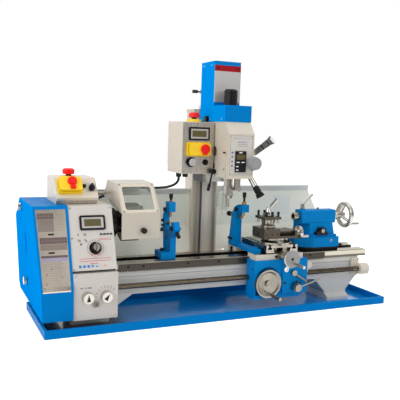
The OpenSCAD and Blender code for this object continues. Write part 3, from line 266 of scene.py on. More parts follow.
def left(x):
    """A face that looks towards -X: u runs along -Y, v up."""
    return Face((x, 0, 0), (0, -1, 0), (0, 0, 1))


PANEL = leaning(-120, 181, math.radians(21.6))
BOX_FACE = leaning(-15, 393, math.radians(38))
GUARD = Face((0, -70, 347), (1, 0, 0), (0, 70, 89))
COVER = leaning(-139, 140, math.atan2(93, 233))


# ---------- painting the CAD nodes ----------
# Each rule is a material and a test of a polygon's centre c, in millimetres, and its normal n. The first rule that
# holds paints the polygon, and the limits in the tests are the solids' own places.
def paint(name, default, *rules):
    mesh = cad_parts[name].data
    mesh.materials.clear()
    for key in [default] + [r[0] for r in rules]:
        mesh.materials.append(M[key])
    for p in mesh.polygons:
        c = p.center / MM
        n = p.normal
        p.material_index = next((i + 1 for i, (_, test) in enumerate(rules) if test(c, n)), 0)


def near(a, b, a0, b0, r):
    """True inside a circle about a0, b0."""
    return math.hypot(a - a0, b - b0) < r


def around(a, b, a0, b0, half):
    """True inside a square about a0, b0."""
    return abs(a - a0) < half and abs(b - b0) < half


# bed, headstock and covers
GROUND_ABOVE = 160.5
SIGHT_GLASS = (-461, 84)
DIAL = (-455, 72)
# the tray's floor carries a painted shadow under the headstock
paint("chip_tray", "blue", ("tray_floor", lambda c, n: n.z > 0.9 and c.z < 20))
# painted shade: the pocket between the ways is black where shade falls; the faces that look to the back above the
# ways are black too
paint("bed", "bed_cast",
      ("blacking", lambda c, n: -21 < c.y < 27 and 84 < c.z < 196.5 or c.y > 60 and n.y > 0.9 and c.z > 161.9),
      ("way_edge", lambda c, n: c.z > GROUND_ABOVE and n.y < -0.9),
      ("way", lambda c, n: c.z > GROUND_ABOVE))
paint("gear_rack", "rack")
paint("screw_bracket", "cream")
# painted shade: the undersides, and the right face behind the chuck, are black where shade falls
paint("headstock", "cast",
      ("blacking", lambda c, n: n.z < -0.9),
      ("turned", lambda c, n: c.x > -392.6 and c.z > 200 and c.y < 90),
      ("black", lambda c, n: c.y > 150.2),
      ("blacking", lambda c, n: n.x > 0.9 and c.x > -394 and c.y < 90))
# the faces that look left take the brighter copy of the blue as painted light
paint("gear_cover", "blue", ("blue_painted_lit_side", lambda c, n: n.x < -0.9))
paint("cover_knobs", "cast_metal")
paint("control_panel", "grey_enamel",
      ("lcd", lambda c, n: -485 < c.x < -431 and 139 < PANEL.up(c) < 163 and PANEL.out(c) > 0.5 and n.z > 0),
      ("bezel", lambda c, n: -493 < c.x < -423 and 133 < PANEL.up(c) < 169 and PANEL.out(c) > 0.5),
      ("black", lambda c, n: PANEL.out(c) > 0.2))
# painted shade: the undersides are black where shade falls
paint("gearbox", "grey_enamel",
      ("oil", lambda c, n: around(c.x, c.z, *SIGHT_GLASS, 7.2) and c.y < -129),
      ("steel", lambda c, n: around(c.x, c.z, *SIGHT_GLASS, 11.5) and c.y < -127.5),
      ("blacking", lambda c, n: -131.8 < c.y < -129 and n.y < -0.5 or n.z < -0.9))
paint("control_box", "cream",
      ("black", lambda c, n: -525 < c.x < -501 and 6.01 < BOX_FACE.out(c) < 10.5 and 27 < BOX_FACE.up(c) < 53),
      ("black", lambda c, n: -473.5 < c.x < -460.5 and BOX_FACE.out(c) > 0.1 and c.z < 440),
      ("stainless", lambda c, n: c.z < 381.5 and c.y < 9 and n.y < -0.5),
      ("yellow", lambda c, n: (c.x < -474.5 and BOX_FACE.out(c) > 0.1 and c.z < 451) or c.z > 452.1),
      ("stainless", lambda c, n: c.x > -460 and BOX_FACE.out(c) > 0.1 and c.z < 440))
paint("speed_dial", "black",
      ("steel", lambda c, n: PANEL.out(c) > 14.2 or near(c.x, PANEL.up(c), *DIAL, 2.5)))
for k in ("selector_left", "selector_right"):
    paint(k, "cast_metal", ("black", lambda c, n: c.y < -150.2))
paint("direction_knob", "black")
paint("stop_button", "red", ("black", lambda c, n: c.z < 461.5))
paint("switch_flap", "yellow", ("red", lambda c, n: BOX_FACE.out(c) > 24.1))
paint("drive_motor", "blacking")

# splash guard, spindle and its guard
WINDOW_SCREWS = (-357, -247)
# painted highlight: the top rim, which faces down and forward, is painted near white as if lit
paint("splash_guard", "guard",
      ("guard_low", lambda c, n: c.z < 250 and c.y < 238),
      ("sheet", lambda c, n: c.y < 234 and c.z > 360))
paint("spindle", "blacking")
paint("chuck", "dark_steel")
paint("chuck_jaws", "steel")
paint("chuck_guard", "guard_cream", ("black", lambda c, n: c.y < -70.2 and abs(c.x + 295) < 10))
paint("guard_window", "clear",
      ("chrome", lambda c, n: any(abs(c.x - x) < 3.6 for x in WINDOW_SCREWS) and GUARD.out(c) > 1.0),
      ("cream", lambda c, n: GUARD.out(c) > 0.3))

# carriage with its compound slide
CROSS_WHEEL = (196, 195)
SWIVEL = (196, -62)
POST = (169, -62)
T_SLOTS = (150, 247)
POST_SCREWS = [(POST[0] + dx, POST[1] + dy) for dx in (-24, 0, 24) for dy in (-27, 27)]
paint("saddle", "cast",
      ("steel", lambda c, n: c.z > 199.9 and n.z > 0.9 or c.z > 200.2 or c.y < -115.2 and c.x > 180),
      ("black", lambda c, n: c.y < -115.2 and c.x < 182 or c.x < 95.9))
paint("apron", "blue_cast",
      ("chrome", lambda c, n: around(c.x, c.z, 209, 147, 9.5) and c.y < -131),
      ("black", lambda c, n: c.y < -131.1),
      ("cream", lambda c, n: c.x > 300.1))
paint("follow_rest", "blue_cast", ("black", lambda c, n: c.x < 91.9 or c.z > 222.1 and c.y < -70))
paint("follow_fingers", "bronze", ("black", lambda c, n: c.z > 368.1 or c.y > 84.1))
paint("apron_wheel", "dial")
paint("half_nut_lever", "dial")
paint("feed_lever", "dial", ("black", lambda c, n: c.z > 100 and c.x < 252))
paint("cross_slide", "steel",
      ("cream", lambda c, n: n.y < -0.9 and c.y < -100),
      ("blacking", lambda c, n: 214 < c.z < 222.1 and any(abs(c.x - x) < 8.1 for x in T_SLOTS)))
paint("cross_wheel", "cast_metal",
      ("black", lambda c, n: -187 < c.y < -185.5 and near(c.x, c.z, *CROSS_WHEEL, 5.2)),
      ("light_grey", lambda c, n: n.y < -0.9 and -188.1 < c.y < -187.9))
paint("swivel_base", "turned",
      ("dark_steel", lambda c, n: c.z > 251.1 or c.z > 249.9 and n.z < -0.5),
      ("black", lambda c, n: c.z > 237.1 and not near(c.x, c.y, *SWIVEL, 49.9)))
paint("top_slide", "dark_steel")
paint("top_slide_wheel", "cast_metal")
paint("tool_post", "dark_steel",
      ("turned", lambda c, n: c.z < 312 and n.z < 0.9),
      ("black", lambda c, n: (c.z > 325.1 or c.z < 315.9) and any(near(c.x, c.y, *s, 5.2) for s in POST_SCREWS)))
paint("post_lever", "chrome")

# tailstock and steady rest
QUILL_Z = 311
# painted shade: the base below 198 mm is black, for the shadow line along the way
paint("tailstock", "blue_cast",
      ("blacking", lambda c, n: c.z < 198),
      ("turned", lambda c, n: c.y < -40.1 and c.z > 245 or c.z > 335.3 and abs(c.x - 420) < 6),
      ("black", lambda c, n: c.y < -22.3 and 243.05 < c.z < 271 and 393 < c.x < 447))
paint("tailstock_quill", "turned")
paint("tail_wheel", "cast_metal")
paint("quill_lever", "chrome")
paint("steady_rest", "blue_cast",
      ("black", lambda c, n: c.x < -186.1 and c.z > 208.1 or c.x > -163.9
       or -186 < c.x < -184.1 and not (abs(c.y + 1) < 17.5 and c.z > 341.5)))
paint("steady_fingers", "bronze", ("black", lambda c, n: math.hypot(c.y, c.z - QUILL_Z) > 67.2))

# column and milling head
# the guide's bands of light and dark are painted reflection and shade
paint("column", "cream", ("slide", lambda c, n: c.y < 204.9 and c.z > 157.2 and 5 < c.x < 85))
paint("mill_head", "cast",
      ("blacking", lambda c, n: c.y > 112.2 or c.x < -14.1 or c.x > 86.1),
      ("chrome", lambda c, n: c.z < 456.9),
      ("lcd", lambda c, n: c.y < -91.5 and 17 < c.x < 51 and 521 < c.z < 540),
      ("black", lambda c, n: c.y < -90.1))
# the faces that look left take the brighter copy of the blue as painted light
paint("motor_cover", "blue",
      ("black", lambda c, n: c.z > 701.2 and c.y < 14 or c.x < -12.1),
      ("blue_painted_lit_side", lambda c, n: n.x < -0.9))
paint("mill_box", "cream",
      ("black", lambda c, n: c.z < 465.9),
      ("yellow", lambda c, n: c.z > 642.1),
      ("lcd", lambda c, n: c.y < 17.9 and -97 < c.x < -43 and 591 < c.z < 614),
      ("bezel", lambda c, n: c.y < 17.9 and -103 < c.x < -37 and 585 < c.z < 620),
      ("black", lambda c, n: c.y < 17.9 and c.z > 579),
      ("black", lambda c, n: c.y < 13.1 and -85 < c.x < -63 and 541 < c.z < 561),
      ("yellow", lambda c, n: c.y < 17.9 and 525 < c.z < 575),
      ("bezel", lambda c, n: c.y < 17.9 and c.z < 525),
      ("stainless", lambda c, n: c.y < 19.9))
paint("mill_quill", "turned")
paint("mill_spindle", "turned")
paint("fine_feed_wheel", "turned", ("grey_knob", lambda c, n: c.y < -105))
paint("drill_guard", "clear")
paint("lock_lever", "black")
paint("mill_stop_button", "red", ("black", lambda c, n: c.z < 658))
paint("mill_switch_flap", "yellow", ("red", lambda c, n: c.y < -6.1))
paint("mill_speed_dial", "black", ("bezel", lambda c, n: c.y < 2.1))
paint("mill_direction_knob", "black")
paint("lift_crank", "chrome", ("dark_steel", lambda c, n: c.x < 16.1 and c.z > 740))

# feed hub of the milling head: three arms with stepped grips, the lower one chromed as far as its first step
HUB = Vector((98, 5, 508))
ARM_START = 12
ARMS = [Vector((0.542, math.cos(math.radians(a)), math.sin(math.radians(a)))) for a in (137, 257, 17)]
LOWER_ARM = 1
GROOVES = ((48.1, 52.9), (83.9, 87.95), (105.9, 108.95))
GRIPS_X = 118


def along_arm(c):
    """How far out on its arm the point c is, and that arm's number."""
    reached = []
    for number, arm in enumerate(ARMS):
        start = HUB + Vector((0, ARM_START * arm.y, ARM_START * arm.z))
        reached.append((ARM_START + (c - start).dot(arm) / arm.length_squared, number))
    return max(reached)


# painted light on the grips: their flat outer ends are near white as a painted highlight, and the grooves between
# the steps are black as painted shade
paint("feed_hub", "turned",
      ("sheet", lambda c, n: c.x > 150 and n.dot((c - HUB).normalized()) > 0.93),
      ("blacking", lambda c, n: c.x > GRIPS_X and any(a < along_arm(c)[0] < b for a, b in GROOVES)),
      ("chrome", lambda c, n: c.x > GRIPS_X and along_arm(c)[1] == LOWER_ARM and along_arm(c)[0] < 86),
      ("black", lambda c, n: c.x > GRIPS_X and along_arm(c)[1] == LOWER_ARM),
      ("grip", lambda c, n: c.x > GRIPS_X))


# ---------- mesh helpers ----------
def add(name, body, mats, bm):
    """Turns a bmesh into a piece that rides on a body; mats is a material or a list of them."""
    me = bpy.data.meshes.new(name)
    bmesh.ops.recalc_face_normals(bm, faces=bm.faces)
    bm.to_mesh(me)
    bm.free()
    o = bpy.data.objects.new(name, me)
    for key in mats if isinstance(mats, list) else [mats]:
        me.materials.append(M[key])
    scene.collection.objects.link(o)
    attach(o, body)
    return o


def circle(r, seg):
    """Points of a circle, as pairs."""
    return [(r * math.cos(2 * math.pi * i / seg), r * math.sin(2 * math.pi * i / seg)) for i in range(seg)]


def bridge(bm, a, b, mi=0):
    """Joins two closed rings of vertices with quads."""
    for i in range(len(a)):
        k = (i + 1) % len(a)
        bm.faces.new((a[i], a[k], b[k], b[i])).material_index = mi


def stack(bm, rings, mi):
    """A solid from rings of vertices, closed at both ends."""
    for end in (rings[0][::-1], rings[-1]):
        bm.faces.new(end).material_index = mi
    for a, b in zip(rings, rings[1:]):
        bridge(bm, a, b, mi)


def bm_box(bm, face, u0, u1, v0, v1, w0, w1, mi=0):
    """A box with slightly chamfered front edges on a face."""
    c = min(0.3, (u1 - u0) / 4, (v1 - v0) / 4, (w1 - w0) / 2)
    stack(bm, [[bm.verts.new(face.at(u, v, w)) for u, v in
                ((u0 + d, v0 + d), (u1 - d, v0 + d), (u1 - d, v1 - d), (u0 + d, v1 - d))]
               for d, w in ((0, w0), (0, w1 - c), (c, w1))], mi)


def bm_disc(bm, face, u, v, w0, w1, r, r1=None, seg=24, mi=0):
    """A round or polygonal button with a chamfered rim."""
    r1 = r if r1 is None else r1
    c = min(0.35, r / 4, (w1 - w0) / 2)
    stack(bm, [[bm.verts.new(face.at(u + du, v + dv, w)) for du, dv in circle(rr, seg)]
               for rr, w in ((r, w0), (r1, w1 - c), (r1 - c, w1))], mi)


def bm_ring(bm, face, u, v, w0, w1, r, ri, seg=32, mi=0):
    rings = [[bm.verts.new(face.at(u + du, v + dv, w)) for du, dv in circle(rr, seg)]
             for rr, w in ((r, w0), (r, w1), (ri, w1), (ri, w0))]
    for a, b in zip(rings, rings[1:] + rings[:1]):
        bridge(bm, a, b, mi)


def bm_socket(bm, face, u, v, w0, r, h):
    """A socket-head screw: a head in material 0 with a hexagonal recess in material 1."""
    bm_ring(bm, face, u, v, w0, w0 + h, r, r * 0.52, 20)
    bm_disc(bm, face, u, v, w0, w0 + h * 0.45, r * 0.53, seg=6, mi=1)


def bm_cross(bm, face, u, v, w0, r, h, mi, mi_dark):
    """A pan-head screw with a cross."""
    bm_disc(bm, face, u, v, w0, w0 + h, r, r * 0.86, 18, mi)
    for du, dv in ((r * 0.6, r * 0.13), (r * 0.13, r * 0.6)):
        bm_box(bm, face, u - du, u + du, v - dv, v + dv, w0 + h * 0.8, w0 + h + 0.06, mi_dark)


# ---------- cable ----------
# from the gland under the mill's control box, hanging behind the chuck guard, to a gland in the headstock's rear
CABLE = [(-120, 70, 452), (-120, 70, 444), (-121, 74, 436), (-124, 80, 429), (-129, 90, 422),
         (-137, 103, 416), (-148, 118, 411), (-162, 133, 408), (-180, 147, 406), (-204, 159, 405),
         (-236, 169, 404), (-272, 177, 399), (-308, 183, 391), (-344, 187, 379), (-376, 189, 366),
         (-400, 188, 355), (-416, 184, 348), (-426, 178, 345.5), (-429.5, 171, 345), (-430, 164, 345),
         (-430, 158, 345)]
CABLE_RADIUS = 4.5


def smooth_line(pts, sub=4):
    """A smooth line through the points, with sub steps between two of them."""
    line = []
    for i in range(len(pts) - 1):
        p0, p1, p2, p3 = pts[max(i - 1, 0)], pts[i], pts[i + 1], pts[min(i + 2, len(pts) - 1)]
        for k in range(sub):
            t = k / sub
            line.append(0.5 * ((2 * p1) + (p2 - p0) * t + (2 * p0 - 5 * p1 + 4 * p2 - p3) * t * t
                               + (3 * p1 - p0 - 3 * p2 + p3) * t ** 3))
    return line + [pts[-1]]


def tube(name, line, r, key, seg=16):
    """A mesh tube round a line."""
    bm = bmesh.new()
    rings = []
    for i, p in enumerate(line):
        d = (line[min(i + 1, len(line) - 1)] - line[max(i - 1, 0)]).normalized()
        s = d.cross(Vector((0.3, 1, 0.2))).normalized()
        t = d.cross(s)
        angles = [2 * math.pi * k / seg for k in range(seg)]
        rings.append([bm.verts.new((p + r * (math.cos(a) * s + math.sin(a) * t)) * MM) for a in angles])
    for a, b in zip(rings, rings[1:]):
        bridge(bm, a, b)
    bm.faces.new(rings[0])
    bm.faces.new(rings[-1])
    me = bpy.data.meshes.new(name)
    bmesh.ops.recalc_face_normals(bm, faces=bm.faces)
    bm.to_mesh(me)
    bm.free()
    for p in me.polygons:
        p.use_smooth = len(p.vertices) == 4
    me.materials.append(M[key])
    o = bpy.data.objects.new(name, me)
    scene.collection.objects.link(o)
    return o


route = smooth_line([Vector(p) for p in CABLE])
cable = tube("head_lead", route, CABLE_RADIUS, "rubber")
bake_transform(cable)
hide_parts("head_cable")


# ---------- marks and small fittings ----------
SHAPES = dict(box=bm_box, disc=bm_disc, ring=bm_ring, cross=bm_cross, socket=bm_socket)
# a printed mark reaches from P0 to P1 above its face, and from T0 to T1 on the chart plate
P0, P1 = 0.02, 0.3
T0, T1 = 1.35, 1.55


def fittings(name, body, face, mats, items):
    """One mesh of plain shapes on a face; the number mi of a shape picks its material from the list mats."""
    bm = bmesh.new()
    for kind, places, options in items:
        SHAPES[kind](bm, face, *places, **options)
    return add(name, body, mats, bm)


def box(u0, u1, v0, v1, w0, w1, mi=0):
    return "box", (u0, u1, v0, v1, w0, w1), dict(mi=mi)


def disc(u, v, w0, w1, r, seg=24, mi=0):
    return "disc", (u, v, w0, w1, r), dict(seg=seg, mi=mi)


def ring(u, v, w0, w1, r, ri, mi=0):
    return "ring", (u, v, w0, w1, r, ri), dict(mi=mi)


def cross(u, v, w0, r, h, mi=0, mi_dark=1):
    return "cross", (u, v, w0, r, h), dict(mi=mi, mi_dark=mi_dark)


def socket(u, v, w0, r, h):
    return "socket", (u, v, w0, r, h), {}


def ticks(u, v, r, angles, du, dv, mi):
    """Small printed boxes round a dial, at angles in degrees."""
    return [box(x - du, x + du, y - dv, y + dv, P0, P1, mi) for x, y in
            ((u + r * math.cos(math.radians(a)), v + r * math.sin(math.radians(a))) for a in angles)]


# ---------- chart plate on the gear cover ----------
LOWER = front(-139)
RIGHT_EDGE = -539
PLATE_OUT, PLATE_IN = 1.4, 0.1
bm = bmesh.new()
# faces, heights and left edges of the rows of vertices, from the top down over the bend
rows = ((COVER, 240, -629), (COVER, 150, -625), (COVER, 60, -622), (COVER, 7, -621),
        (LOWER, 134, -620.5), (LOWER, 130, -620.5))
outer, inner = [], []
for face, v, left_edge in rows:
    outer.append([bm.verts.new(face.at(u, v, PLATE_OUT)) for u in (left_edge, RIGHT_EDGE)])
    inner.append([bm.verts.new(face.at(u, v, PLATE_IN)) for u in (left_edge, RIGHT_EDGE)])
for k in range(len(rows) - 1):
    bm.faces.new((outer[k][0], outer[k][1], outer[k + 1][1], outer[k + 1][0]))
    bm.faces.new((inner[k][0], inner[k + 1][0], inner[k + 1][1], inner[k][1]))
    for s in (0, 1):
        bm.faces.new((outer[k][s], outer[k + 1][s], inner[k + 1][s], inner[k][s]))
for k in (0, -1):
    bm.faces.new((outer[k][0], outer[k][1], inner[k][1], inner[k][0]))
add("chart_sheet", "base", "plate", bm)


def field(u0, u1, v0, v1, columns, rows, mi, line):
    """A coloured field with a plain grid of thin lines; line is the number of their material."""
    w0, w1 = T1 - 0.02, T1 + 0.08
    us = [u0 + (u1 - u0) * k / columns for k in range(1, columns)]
    vs = [v0 + (v1 - v0) * k / rows for k in range(1, rows)]
    return ([box(u0, u1, v0, v1, T0, T1, mi)]
            + [box(u - 0.25, u + 0.25, v0 + 0.4, v1 - 0.4, w0, w1, line) for u in us]
            + [box(u0 + 0.4, u1 - 0.4, v - 0.25, v + 0.25, w0, w1, line) for v in vs])


chart = field(-625, -576, 210, 229, 7, 2, 0, 2) + field(-624, -576.5, 172, 209, 7, 6, 1, 3)
chart += [box(-595.5, -578, 161, 166, T0, T1 + 0.1, 4), box(-597.5, -579, 105.5, 110.5, T0, T1 + 0.1, 4)]
chart += field(-620.7, -540.6, 135, 154, 10, 2, 0, 2) + field(-620.3, -540.7, 115.5, 134, 10, 3, 1, 3)
chart += [box(-619.7, -541, 93, 100, T0, T1, 0), box(-619.9, -541.2, 82, 92.4, T0, T1, 5)]
chart += [box(-618, -545, v, v + 0.6, T0, T1, 1) for v in range(12, 80, 7)]
chart += [box(-574, -545, v, v + 0.7, T0, T1, 1) for v in range(174, 228, 5)]
chart += [disc(-606, 44, T0, T1 + 0.1, 2.2, mi=6), disc(-608, 16, T0, T1 + 0.1, 2.2, mi=6),
          disc(-592, 60, T0, T1 + 0.1, 2.6, mi=7)]
chart += [cross(u, v, 1.4, 2.4, 0.8, 7, 4) for u, v in ((-624, 235), (-544, 235), (-616, 4), (-544, 4))]
fittings("chart_fields", "base", COVER,
         ["plate_ink", "plate_mid", "plate_line", "plate_shade", "black", "violet_ink", "red_ink", "chrome"],
         chart)

# ---------- headstock panel ----------
marks = [box(*edges, P0, P1) for edges in
         ((-472, -443, 51, 53), (-507, -408, 39.5, 41), (-507, -409, 32, 33.5), (-475, -451, 24, 26),
          (-441, -403, 100.5, 101.8), (-445, -401, 96.5, 97.8))]
marks += [disc(u, 17, P0, P1, 4.6, seg=28, mi=1) for u in (-505.8, -493.2, -480.4)]
marks += [disc(-467.6, 17, P0, P1, 4.6, mi=2), box(-472, -465, 15, 21, P1 - 0.02, P1 + 0.05, 1),
          box(-459, -451, 14, 17.6, P0, P1, 1), ring(-442.4, 17, P0, P1, 4.6, 3.9, 2),
          disc(-429, 17.5, P0, P1, 4.4, seg=3, mi=3)]
marks += [box(u - 1.6, u + 1.6, v - 3.6, v + 3.6, P0, P1, 4) for u, v in
          ((-505, 115), (-487, 115), (-482, 115), (-505, 97), (-500.5, 96), (-485, 98), (-481, 94), (-500, 84.5),
           (-496, 86))]
marks += [ring(*DIAL, P0, P1, 26, 25.4, 4)] + ticks(*DIAL, 24, range(-50, 231, 20), 0.6, 0.6, 5)
marks += [box(-441 + 10.5 * i, -433 + 10.5 * i, 119.6, 120.4, P0, P1, 2) for i in range(4)]
marks += [cross(u, v, -1.9, 2.3, 1.5, 6, 5) for u in (-524, -399) for v in (8, 104, 198)]
fittings("panel_marks", "base", PANEL,
         ["red_ink", "blue_ink", "pale_ink", "orange_ink", "grey_ink", "black", "chrome"], marks)
# painted shade: a thin black strip under the panel stands in for the shadow in the gap above the gearbox
fittings("panel_shadow_gap", "base", PANEL, ["black"], [box(-530.5, -396.5, 0.3, 4.2, 0.02, 0.6)])

# ---------- gearbox front ----------
SELECTOR = (-430, 106)
marks = [box(u - 1.8, u + 1.8, 133, 137, P0, P1) for u in (-507, -503, -494, -486, -481.5, -477)]
for a in range(40, 181, 20):
    marks += ticks(*SELECTOR, 27, [a], 2.2, 0.5, 0) + ticks(*SELECTOR, 31.5, [a], 1.4, 1.6, 0)
marks += [cross(u, v, -1.9, 2.8, 1.6, 1, 2) for u in (-523, -400) for v in (44, 171)]
marks += [cross(-519, 158, 0, 2.2, 0.9, 1, 2)]
fittings("gearbox_marks", "base", front(-132), ["grey_ink", "chrome", "black"], marks)

# ---------- milling head front ----------
marks = [box(-5, 78, 470.3, 471.3, P0, P1), box(-5, 78, 600, 601, P0, P1), box(-5, -4, 471, 600.5, P0, P1),
         box(77, 78, 471, 600.5, P0, P1)]
marks += [box(3, 72, 591, 591.8, P0, P1), box(3, 72, 475.5, 476.3, P0, P1)]
marks += [disc(3.4, v, P0, P1 + 0.1, 3.2, mi=1) for v in (545, 530.5, 515.5, 500.5)]
marks += [ring(2.8, 486.3, P0, P1 + 0.1, 3.6, 2.7, 2)]
marks += [box(20, 60, 566 + 6 * k, 567 + 6 * k, P0, P1) for k in range(3)]
marks += [box(24, 54, 578, 584, P0, P1, 3)]
marks += [cross(u, v, 0, 2.4, 0.9, 4, 5) for u in (-4.5, 77) for v in (473.5, 598.5)]
marks += [box(u - d, u + d, v - 1.8, v + 1.8, 4.02, 4.4, 6) for u, v, d in
          ((33, 545, 6), (24, 512.8, 5.5), (43, 512.8, 6.5), (21.5, 499, 4.5), (21.5, 487, 4.5))]
marks += [box(-4.6, 77.6, 470.8, 600.4, 0.0, 0.015, 7)]
fittings("head_marks", "mill_head", front(-90),
         ["grey_ink", "violet_dot", "green_ink", "pale_ink", "chrome", "black", "white", "grey_enamel"],
         marks)

# left flank of the head: oval covers, plate screws and flank screws
FLANK = left(-9)
COVER_SIDES = 32
bm = bmesh.new()
for y, z, ry, rz in ((19, 545, 15, 16), (22, 494.5, 7, 10.5)):
    for w0, w1, k, mi in ((0, 1.2, 1.0, 0), (1.2, 1.6, 0.72, 1)):
        low, high = ([bm.verts.new(FLANK.at(-y + ry * k * math.cos(2 * math.pi * i / COVER_SIDES),
                                            z + rz * k * math.sin(2 * math.pi * i / COVER_SIDES), w))
                      for i in range(COVER_SIDES)] for w in (w0, w1))
        bm.faces.new(high).material_index = mi
        bridge(bm, low, high, mi)
add("flank_covers", "mill_head", ["blacking", "oil"], bm)
marks = [cross(17, z, 0, 2.2, 0.9) for z in (536, 522, 500, 467)]
marks += [disc(66, 487.5, 5, 6.2, 3, mi=1), box(60, 74, 541, 546, 5, 8, 1)]
fittings("flank_screws", "mill_head", FLANK, ["chrome", "black"], marks)

# ---------- milling control box ----------
MILL_DIAL = (-98, 506)
marks = [cross(u, v, 0, 2.4, 0.9) for u in (-124, -21) for v in (474, 634)]
marks += [cross(-24, v, 0, 2.2, 0.9) for v in (600, 627)]
marks += [ring(*MILL_DIAL, P0, P1, 21.5, 20.8, 2)] + ticks(*MILL_DIAL, 24, range(-40, 221, 26), 0.7, 0.7, 2)
marks += [box(-71, -64, v, v + 1.5, P0, P1, 2) for v in (516, 506, 496)]
fittings("mill_box_marks", "mill_head", front(18), ["chrome", "black", "grey_ink"], marks)
marks = [box(-115, -110.5, 531, 536, -0.02, 1.4, 1), box(-115, -110.5, 564, 569, -0.02, 1.4, 1),
         box(-103, -97, 535, 565, -7.9, -6.0, 1), box(-50, -44, 535, 565, -7.9, -6.0, 1)]
fittings("mill_switch_ribs", "mill_head", front(6), ["chrome", "yellow"], marks)

# ---------- apron and guard window ----------
marks = [socket(u, v, 0, 3.6, 2.2) for u, v in ((204, 164), (222, 163), (205, 100), (268, 96))]
fittings("apron_screws", "carriage", front(-131), ["blacking", "black"], marks)
marks = [cross(u, v, 0.9, 3.0, 1.6) for u in WINDOW_SCREWS for v in (7, 107)]
fittings("window_screws", "chuck_guard", GUARD, ["chrome", "black"], marks)

# ---------- lead screw with its thread ----------
PITCH, ROOT, CREST, JOURNAL = 4.0, 7.7, 8.95, 9
AXIS_Y, AXIS_Z = -80, 117
SCREW_LEFT, SCREW_RIGHT = -426, 592


def lead_thread(x0, x1, seg=24):
    """A trapezoidal thread between two plain journals, as helical strips."""
    bm = bmesh.new()
    steps = int((x1 - x0) / PITCH) * seg
    lines = []
    for off, r in ((0.0, ROOT), (0.5, CREST), (1.9, CREST), (2.4, ROOT)):
        lines.append([bm.verts.new(Vector((x0 + off + PITCH * i / seg, AXIS_Y + r * math.cos(2 * math.pi * i / seg),
                                           AXIS_Z + r * math.sin(2 * math.pi * i / seg))) * MM)
                      for i in range(steps + 1)])
    for a, b in zip(lines, lines[1:]):
        for i in range(steps):
            bm.faces.new((a[i], a[i + 1], b[i + 1], b[i]))
    a, b = lines[-1], lines[0]
    for i in range(steps - seg):
        bm.faces.new((a[i], a[i + 1], b[i + 1 + seg], b[i + seg]))
    end = Face((0, AXIS_Y, AXIS_Z), (0, 1, 0), (0, 0, 1))
    for w0, w1 in ((SCREW_LEFT, x0 + 8), (x1 - 12, SCREW_RIGHT)):
        bm_disc(bm, end, 0, 0, w0, w1, JOURNAL, seg=32)
    return bm


screw = add("lead_screw_thread", "lead_screw", "screw_steel", lead_thread(-398, 545))
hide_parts("lead_screw")

# ---------- bare plate on the motor cover ----------
CORNER = 3.0


def wrapped_plate(x0, x1, y, z0, z1, band, thick=0.5):
    """A thin sheet on a front face, bent round its upright corners; its top band has material 1."""
    line = [(x0 + CORNER - CORNER * math.sin(a), y + CORNER - CORNER * math.cos(a), a)
            for a in (math.radians(60 - 12 * k) for k in range(6))]
    line += [(x0 + x1 - x, yy, -a) for x, yy, a in reversed(line)]
    bm = bmesh.new()
    levels = (z0, z1 - band, z1)
    skins = [[[bm.verts.new(Vector((x - h * math.sin(a), yy - h * math.cos(a), z)) * MM) for x, yy, a in line]
              for z in levels] for h in (0.02, thick)]
    inner, outer = skins
    last = len(line) - 1
    for k in range(len(levels) - 1):
        for i in range(last):
            for s in skins:
                bm.faces.new((s[k][i], s[k][i + 1], s[k + 1][i + 1], s[k + 1][i])).material_index = k
        for i in (0, last):
            edge = (inner[k][i], inner[k + 1][i], outer[k + 1][i], outer[k][i])
            bm.faces.new(edge).material_index = k
    for k, mi in ((0, 0), (2, 1)):
        for i in range(last):
            edge = (inner[k][i], inner[k][i + 1], outer[k][i + 1], outer[k][i])
            bm.faces.new(edge).material_index = mi
    return bm


add("cover_plate", "mill_head", ["placard_grey", "placard_red"], wrapped_plate(-12, 89, 33, 713, 839, 20))
marks = [disc(u, 829, 0.5, 2.0, 3.2) for u in (0, 77)]
marks += [disc(u, 829, 2.0, 2.4, 1.6, seg=6, mi=1) for u in (0, 77)]
fittings("cover_plate_screws", "mill_head", front(33), ["blacking", "black"], marks)
marks = [cross(u, v, 0, 2.6, 1.0) for u, v in ((30, 655), (-60, 655), (-120, 840), (-60, 840))]
fittings("cover_flank_screws", "mill_head", left(-12), ["chrome", "black"], marks)

# ---------- splash guard: bare sheet, and the skirt that closes it under the column's foot ----------
fittings("guard_sheet", "base", front(235), ["sheet"], [box(373, 449, 283, 362, 0.0, 0.5)])
fittings("foot_skirt", "base", Face((0, 152, 27), (1, 0, 0), (0, 83, 223)), ["blue_cast"],
         [box(-65.5, 135.5, 2, 61, -7, -5.5)])

# ---------- screws of the bracket, tailstock and rack ----------
marks = [socket(u, v, -3.6, 2.9, 3.2) for u in (550, 568) for v in (96, 148)]
fittings("bracket_screws", "base", front(-65), ["turned", "black"], marks)
fittings("tail_screw", "tailstock", front(-40), ["turned", "black"], [socket(460, 222, -3.8, 4.7, 3.6)])
marks = [socket(u, 176, -1.9, 3.7, 1.8) for u in (-340, -290, -134, -20, 60, 75, 350)]
fittings("rack_screws", "base", front(-69), ["blacking", "black"], marks)


# ---------- dial graduations ----------
def graduations(name, body, face, u, v, r, w0, w1, n, long_by=5):
    """n lines round a dial, whose axis is the face's normal, from w0 to w1; each long_by-th has the full length."""
    deep, proud, half = -0.05, 0.08, 0.22
    bm = bmesh.new()
    for k in range(n):
        a = 2 * math.pi * k / n
        c, s = math.cos(a), math.sin(a)
        reach = w1 if k % long_by == 0 else w0 + (w1 - w0) * 0.6
        low, high = ([bm.verts.new(face.at(u + (r + h) * c - t * s, v + (r + h) * s + t * c, w)) for h, t in
                      ((deep, -half), (proud, -half), (proud, half), (deep, half))] for w in (w0, reach))
        bm.faces.new(low[::-1])
        bm.faces.new(high)
        bridge(bm, low, high)
    add(name, body, "blacking", bm)


